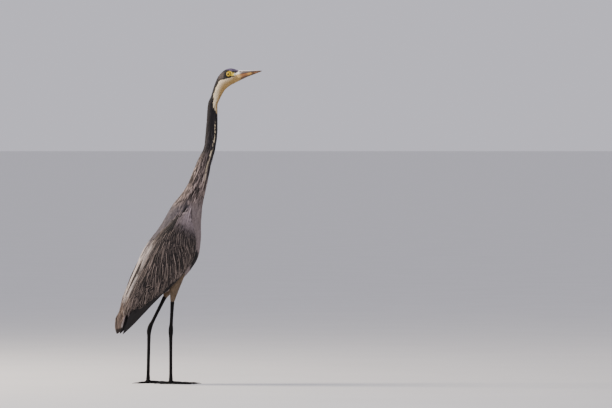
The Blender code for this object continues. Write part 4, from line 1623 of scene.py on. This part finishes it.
def build_primaries():
    """The black primaries: a strip along the wing's lower edge that widens to a long point past its end."""
    rows = []
    share = np.linspace(0, 1, 10)  # from the feather at the leading edge to the innermost one
    u = (0.47 + 0.12 * share, 0.76 + 0.04 * share, 0.9 + 0 * share)
    v = (0.03 + 0.09 * share, 0.05 + 0.21 * share, 0 * share)
    sink = (2.4 - 1.2 * share, 1.6 - 0.8 * share, 3 + 0 * share)
    for side in SIDES:
        row = wing_row(side, u, v, sink, 5.5)
        row["end"] = primary_tips(side, share)
        row["end_up"] = np.tile([0, SIDES[side], 0.0], (len(share), 1))
        rows.append(row)
    feathers = joined_rows(rows)
    tone = colours()["flight"]
    tinted(feathers, tone, tone * 2.2, 0.8, 1.25)
    nodes = tuple("primaries_" + side for side in SIDES)
    lay_feathers("primaries", feathers, "flight", "flight_feather", shape().seed, nodes)


def tail_row(height, across, deep):
    """A place and a normal for each tail feather at its height. The places lie that deep in the solid."""
    tree = solid_tree("tail")[0]
    points = cad_points("tail")
    back_off = 80 * MM
    ahead = 1.0 * (line().points[:, 0] > -50 * MM)  # puts the line's places in front of the tail last
    places, normals = [], []
    for z, side, sink in zip(height, across, deep):
        near = points[np.abs(points[:, 2] - z) < 10 * MM]
        wide = (near[:, 1].max() - near[:, 1].min()) / 2 - 5.5 * MM
        index = np.argmin(np.abs(line().points[:, 2] - z) + ahead)
        back, left, along = -line().fronts[index], line().lefts[index], line().tangents[index]
        origin = line().points[index] + left * side * wide + back * back_off
        place, normal, _, _ = tree.ray_cast(Vector(origin), Vector(-back))
        if place is None:
            place, normal, _, _ = tree.find_nearest(Vector(origin - back * back_off))
        slide = along * (z - place.z) / along[2]
        place = tree.find_nearest(place + Vector(slide))[0]
        places.append(np.array(place) - np.array(normal) * sink * MM)
        normals.append(normal)
    return np.array(places), unit(np.array(normals))


def build_tail():
    """Twelve tail feathers, the middle pair on top."""
    low, high = (corner.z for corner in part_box("tail"))
    across = np.linspace(-1, 1, 12)
    lower = 1.65 * np.abs(across)  # millimetres that the outer feathers lie below the middle pair
    heights = (high - 4 * MM + 0 * across, (high + low) / 2 + 0 * across, low + (0.6 + 5 * across**2) * MM)
    feathers = {}
    for key, height, sink in zip(("start", "half", "end"), heights, (3.0, 1.2, 0.5)):
        feathers[key], feathers[key + "_up"] = tail_row(height, across, sink + lower)
    feathers["broad"] = np.full(len(across), 7.0 * MM)
    feathers["place"] = line().unwrapped(feathers["half"])
    tone = colours()["tail"]
    tinted(feathers, tone, tone * 1.4, 0.6, 1.3)
    lay_feathers("tail_feathers", feathers, "flight", "tail_feather", 3, ("tail",))


def clear_of_eyes(points, normals):
    """True where the head has feathers."""
    ahead = in_head(points)[:, 0]
    faces_bill = (normals @ np.array(HEAD_AHEAD) > 0.75) & (ahead > 20)
    return (bare_face(points) < 0.35) & ~faces_bill


def head_length(points):
    """Feathers on the head: very short at the bill and the eyes, longer on the nape."""
    ahead = in_head(points)[:, 0]
    return np.interp(ahead, (-40, -20, 10, 25), (9.5, 7.5, 5.5, 4.2))


def neck_length(points):
    low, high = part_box("neck")
    return np.interp(points[:, 2], (low.z, low.z + 0.1, high.z - 0.1, high.z), (26, 20, 12, 8.5))


def on_back(points, normals):
    return np.abs(line().around(points)[1]) > math.pi * 0.5


def on_front(points, normals):
    return ~on_back(points, normals)


def upper_neck(points, normals):
    low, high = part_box("neck")
    return points[:, 2] > (low.z + high.z) / 2 + 0.004 * np.sin(points[:, 0] * 900)


def lower_neck(points, normals):
    return ~upper_neck(points, normals)


def head_sink(points):
    return 1.2 - 0.8 * ease(in_head(points)[:, 0], 10, 22)


def bill_base(points, normals):
    """True on the root of the bill: a point under the chin, and a shorter one over the ridge."""
    ahead, left, up = in_head(points).T
    lower = in_head(cad_points("bill_lower"))
    forwards = ahead - lower[:, 0].min()
    gape = lower[lower[:, 0] < lower[:, 0].min() + 2][:, 2].max()
    below = np.clip((gape - up) / 9, 0, 1)
    above = np.clip((up - gape - 5) / 5, 0, 1)
    reach = 1.2 + 20 * below**1.3 * (1 - 0.6 * np.abs(left) / 9) + 6 * above
    return (forwards > -1) & (forwards < reach) & (bare_face(points) < 0.35)


def neck_root(points, normals):
    """True on the front and sides of the root of the neck, where long plumes hang."""
    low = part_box("neck")[0].z
    height = points[:, 2]
    in_front = np.abs(line().around(points)[1]) < math.pi * 0.7
    return in_front & (height > low - 15 * MM) & (height < low + 190 * MM)


def back_ridge(points, normals):
    """True along the middle of the back, from the shoulders to the root of the tail."""
    low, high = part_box("trunk")
    height = points[:, 2]
    half = 30 * MM * ease(height, low.z - 80 * MM, low.z + 120 * MM) + 9 * MM
    near = np.abs(points[:, 1] - (low.y + high.y) / 2) < half
    return near & (height < high.z - 40 * MM) & (height > low.z - 10 * MM) & on_back(points, normals)


def covert_length(points):
    """Short feathers at the bend of the wing, and longer ones behind it."""
    u = wing("left").shares(points)[0]
    return np.interp(u, (0.0, 0.2, 0.4), (14, 24, 32))


def clear_of_quills(points, lengths):
    """Those lengths in millimetres, shortened where a hanging plume would cover the black quills."""
    side = side_of(points)
    way = hanging(points, np.tile([0, SIDES[side], 0], (len(points), 1)))
    clear = lengths * 0.2
    for share in (0.35, 0.5, 0.65, 0.8, 1.0):
        u, v = wing(side).shares(points + way * (lengths * share * MM)[:, None])
        clear = np.where(v > quill_border(u) + 0.01, lengths * share, clear)
    return clear


def plume_length(points):
    """Long plumes on the middle of the wing, shorter ones towards its bend and its end."""
    u = wing("left").shares(points)[0]
    return clear_of_quills(points, np.interp(u, (0.1, 0.3, 0.7, 0.9), (26, 62, 66, 36)))


def wing_part(side, start, end):
    """A test for places on the wing between those shares of its length, clear of the black quills."""

    def part(points, normals):
        u, v = wing(side).shares(points)
        return (u > start) & (u < end) & (v > quill_border(u + 0.02))

    return part


def hanging(points, normals):
    """The lay of the wing's long plumes: along its upper edge, and more steeply down in the middle."""
    side = side_of(points)
    u, v = wing(side).shares(points)
    steep = 0.85 * (1 - ease(v, 0.5, 0.95)) * ease(v, 0.0, 0.25) * ease(u, 0.1, 0.25)
    lean = 0.45 * (1 - ease(u, 0.3, 0.55)) - 0.25 * ease(u, 0.6, 0.85) + 0.3 * rough(points, 32 * MM, 4.0)
    down = np.stack([lean, 0 * lean, -np.ones(len(points))], 1)
    return unit(level(mixed(wing(side).axis, unit(down), steep), normals))


def side_of(points):
    return "left" if points[:, 1].mean() > middle("trunk").y else "right"


# ---------------------------------------------------------------- operators and panel


class HERON_OT_skin(bpy.types.Operator):
    """One skin over the head, neck, body, wings, legs and feet, with lids round the eyes"""

    bl_idname = "heron.skin"
    bl_label = "Skin"

    def execute(self, context):
        build_skin()
        return {"FINISHED"}


class HERON_OT_eyes(bpy.types.Operator):
    """Both eyeballs"""

    bl_idname = "heron.eyes"
    bl_label = "Eyes"

    def execute(self, context):
        for side in SIDES:
            build_eye(side)
        return {"FINISHED"}


class HERON_OT_horn(bpy.types.Operator):
    """Both halves of the bill, the claws and the plates of the legs"""

    bl_idname = "heron.horn"
    bl_label = "Bill, claws and plates"

    def execute(self, context):
        build_bill(True)
        build_bill(False)
        build_claws()
        build_plates()
        return {"FINISHED"}


class HERON_OT_head_coat(bpy.types.Operator):
    """The short feathers of the head and the neck"""

    bl_idname = "heron.head_coat"
    bl_label = "Head and neck feathers"

    def execute(self, context):
        neck = {"nodes": ("neck",), "broad": 1.9, "length": neck_length, "slot": "neck_plumage"}
        coat("head_feathers", ("head",), 1.35, head_length, 1.1, clear_of_eyes, sink=head_sink, spread=0.06,
             slot="neck_plumage")
        coat("bill_base_feathers", ("bill_upper", "bill_lower"), 1.1, 4.6, 0.9, bill_base, sink=0.4,
             lift=0.15, spread=0.06, slot="neck_plumage")
        coat("upper_neck_feathers", spacing=2.3, keep=upper_neck, sink=2.4, **neck)
        coat("lower_neck_feathers", spacing=2.4, keep=lower_neck, sink=2.6, stretch=1.8, spread=0.25,
             **neck)
        coat("neck_plumes", ("neck", "trunk"), 3.6, 56, 1.5, neck_root, kind="streak",
             finish="plume_feather", sink=3.0, yaw=0.05, stretch=3.4, lift=0.8, spread=0.35, pale=0.45,
             slot="neck_plumage")
        return {"FINISHED"}


class HERON_OT_body_coat(bpy.types.Operator):
    """The feathers of the back, breast, belly and thighs"""

    bl_idname = "heron.body_coat"
    bl_label = "Body feathers"

    def execute(self, context):
        coat("mantle_feathers", ("trunk",), 3.6, 30, 4.2, on_back, spread=0.2)
        coat("back_plumes", ("trunk", "wing_left", "wing_right", "tail"), 4.2, 62, 3.0, back_ridge,
             kind="plume", finish="plume_feather", sink=3.5, stretch=2.6, lift=0.6, spread=0.16)
        coat("belly_feathers", ("trunk",), 3.4, 28, 3.4, on_front)
        coat("thigh_feathers", ("thigh_left", "thigh_right"), 2.2, 13, 1.8, sink=2.4)
        return {"FINISHED"}


class HERON_OT_wing_coat(bpy.types.Operator):
    """The coverts, secondaries, tertials and primaries of the folded wings"""

    bl_idname = "heron.wing_coat"
    bl_label = "Wing feathers"

    def execute(self, context):
        loose = {"length": plume_length, "sink": 1.5, "yaw": 0.05, "flow": hanging}
        for side in SIDES:
            node = ("wing_" + side,)
            coat("coverts_" + side, node, 3.4, covert_length, 3.6, wing_part(side, -1, 0.84))
            coat("wing_plumes_" + side, node, 4.6, broad=3.4, keep=wing_part(side, 0.1, 0.9), kind="lance",
                 finish="edged_feather", lift=0.9, spread=0.25, stretch=2.8, **loose)
            coat("wing_wisps_" + side, node, 6.5, broad=1.0, keep=wing_part(side, 0.14, 0.9), kind="streak",
                 finish="plume_feather", lift=1.5, spread=0.2, stretch=3.2, pale=0.8, **loose)
        build_flight_feathers()
        build_primaries()
        return {"FINISHED"}


class HERON_OT_tail(bpy.types.Operator):
    """The tail feathers"""

    bl_idname = "heron.tail"
    bl_label = "Tail"

    def execute(self, context):
        build_tail()
        return {"FINISHED"}


class HERON_OT_stage(bpy.types.Operator):
    """The floor, the light and the camera"""

    bl_idname = "heron.stage"
    bl_label = "Stage"

    def execute(self, context):
        build_stage(context.scene.heron_stage)
        return {"FINISHED"}


def linked_object(name, data, place, aim):
    """A lamp or a camera at that place, turned to its aim."""
    made = loose_object(name, data)
    made.location = place
    made.rotation_euler = (aim - place).to_track_quat("-Z", "Y").to_euler()
    return made


def area_light(name, place, aim, size, power, hex_code):
    data = bpy.data.lights.new(name, "AREA")
    data.size, data.energy, data.color = size, power, linear(hex_code)
    linked_object(name, data, place, aim)


def floor_material():
    """A studio floor: matt and pale, with a faint cloudiness three times a metre."""
    made, tree, shader = new_material("pale_studio_floor")
    place = add(tree, "ShaderNodeTexCoord").outputs["Object"]
    clouds = add(tree, "ShaderNodeTexNoise", {"Vector": place, "Scale": 3.0})
    shade = add(tree, "ShaderNodeMapRange", {"Value": clouds.outputs[0], "To Min": 0.70, "To Max": 0.76})
    tree.links.new(shade.outputs[0], shader.inputs["Base Color"])
    shader.inputs["Roughness"].default_value = 0.9
    return made


def build_stage(stage):
    half = 3000.0  # metres, so that the floor reaches the horizon
    floor = bpy.data.meshes.new("floor")
    corners = [(-half, -half, 0), (half, -half, 0), (half, half, 0), (-half, half, 0)]
    floor.from_pydata(corners, [], [(0, 1, 2, 3)])
    floor.materials.append(floor_material())
    loose_object("floor", floor)

    world = bpy.data.worlds.new("studio")
    world.use_nodes = True
    sky = world.node_tree.nodes["Background"].inputs
    sky["Color"].default_value = (*linear("#C6C4CE"), 1)
    sky["Strength"].default_value = 1.15
    bpy.context.scene.world = world
    centre = CAD_BOX[0].lerp(CAD_BOX[1], 0.5)
    area_light("key", centre + Vector((-2.4, 1.0, 2.0)), centre, 1.0, 55 * stage.key_power, "#FFF0DC")
    area_light("fill", centre + Vector((-1.0, -3.0, 1.6)), centre, 2.0, 12 * stage.key_power, "#F2F4FF")

    turn = stage.azimuth
    ahead = Vector((math.sin(turn), math.cos(turn), 0))
    right = Vector((math.cos(turn), -math.sin(turn), 0))
    data = bpy.data.cameras.new("camera")
    data.sensor_width = 36
    data.lens = data.sensor_width * stage.distance / stage.view_width
    data.clip_end = 3 * half
    place = ahead * -stage.distance + Vector((0, 0, stage.height))
    aim = right * stage.aim_right + Vector((0, 0, stage.aim_height))
    bpy.context.scene.camera = linked_object("camera", data, place, aim)


STEPS = ("skin", "eyes", "horn", "head_coat", "body_coat", "wing_coat", "tail", "stage")
SETTINGS = {"heron_colours": HeronColours, "heron_shape": HeronShape, "heron_stage": HeronStage}
OPERATORS = (
    HERON_OT_skin,
    HERON_OT_eyes,
    HERON_OT_horn,
    HERON_OT_head_coat,
    HERON_OT_body_coat,
    HERON_OT_wing_coat,
    HERON_OT_tail,
    HERON_OT_stage,
)


class HERON_PT_panel(bpy.types.Panel):
    """The steps that finish the heron, and its settings"""

    bl_label = "Heron"
    bl_space_type = "VIEW_3D"
    bl_region_type = "UI"
    bl_category = "Heron"

    def draw(self, context):
        for step in STEPS:
            self.layout.operator("heron." + step)
        for name, settings in SETTINGS.items():
            box = self.layout.box()
            for field in settings.__annotations__:
                box.prop(getattr(context.scene, name), field)


def register():
    for cls in (*SETTINGS.values(), *OPERATORS, HERON_PT_panel):
        bpy.utils.register_class(cls)
    for name, settings in SETTINGS.items():
        setattr(bpy.types.Scene, name, PointerProperty(type=settings))


def unregister():
    for name in SETTINGS:
        delattr(bpy.types.Scene, name)
    for cls in (HERON_PT_panel, *reversed(OPERATORS), *reversed(SETTINGS.values())):
        bpy.utils.unregister_class(cls)


def main():
    register()
    for step in STEPS:
        getattr(bpy.ops.heron, step)()


if __name__ == "__main__":
    main()
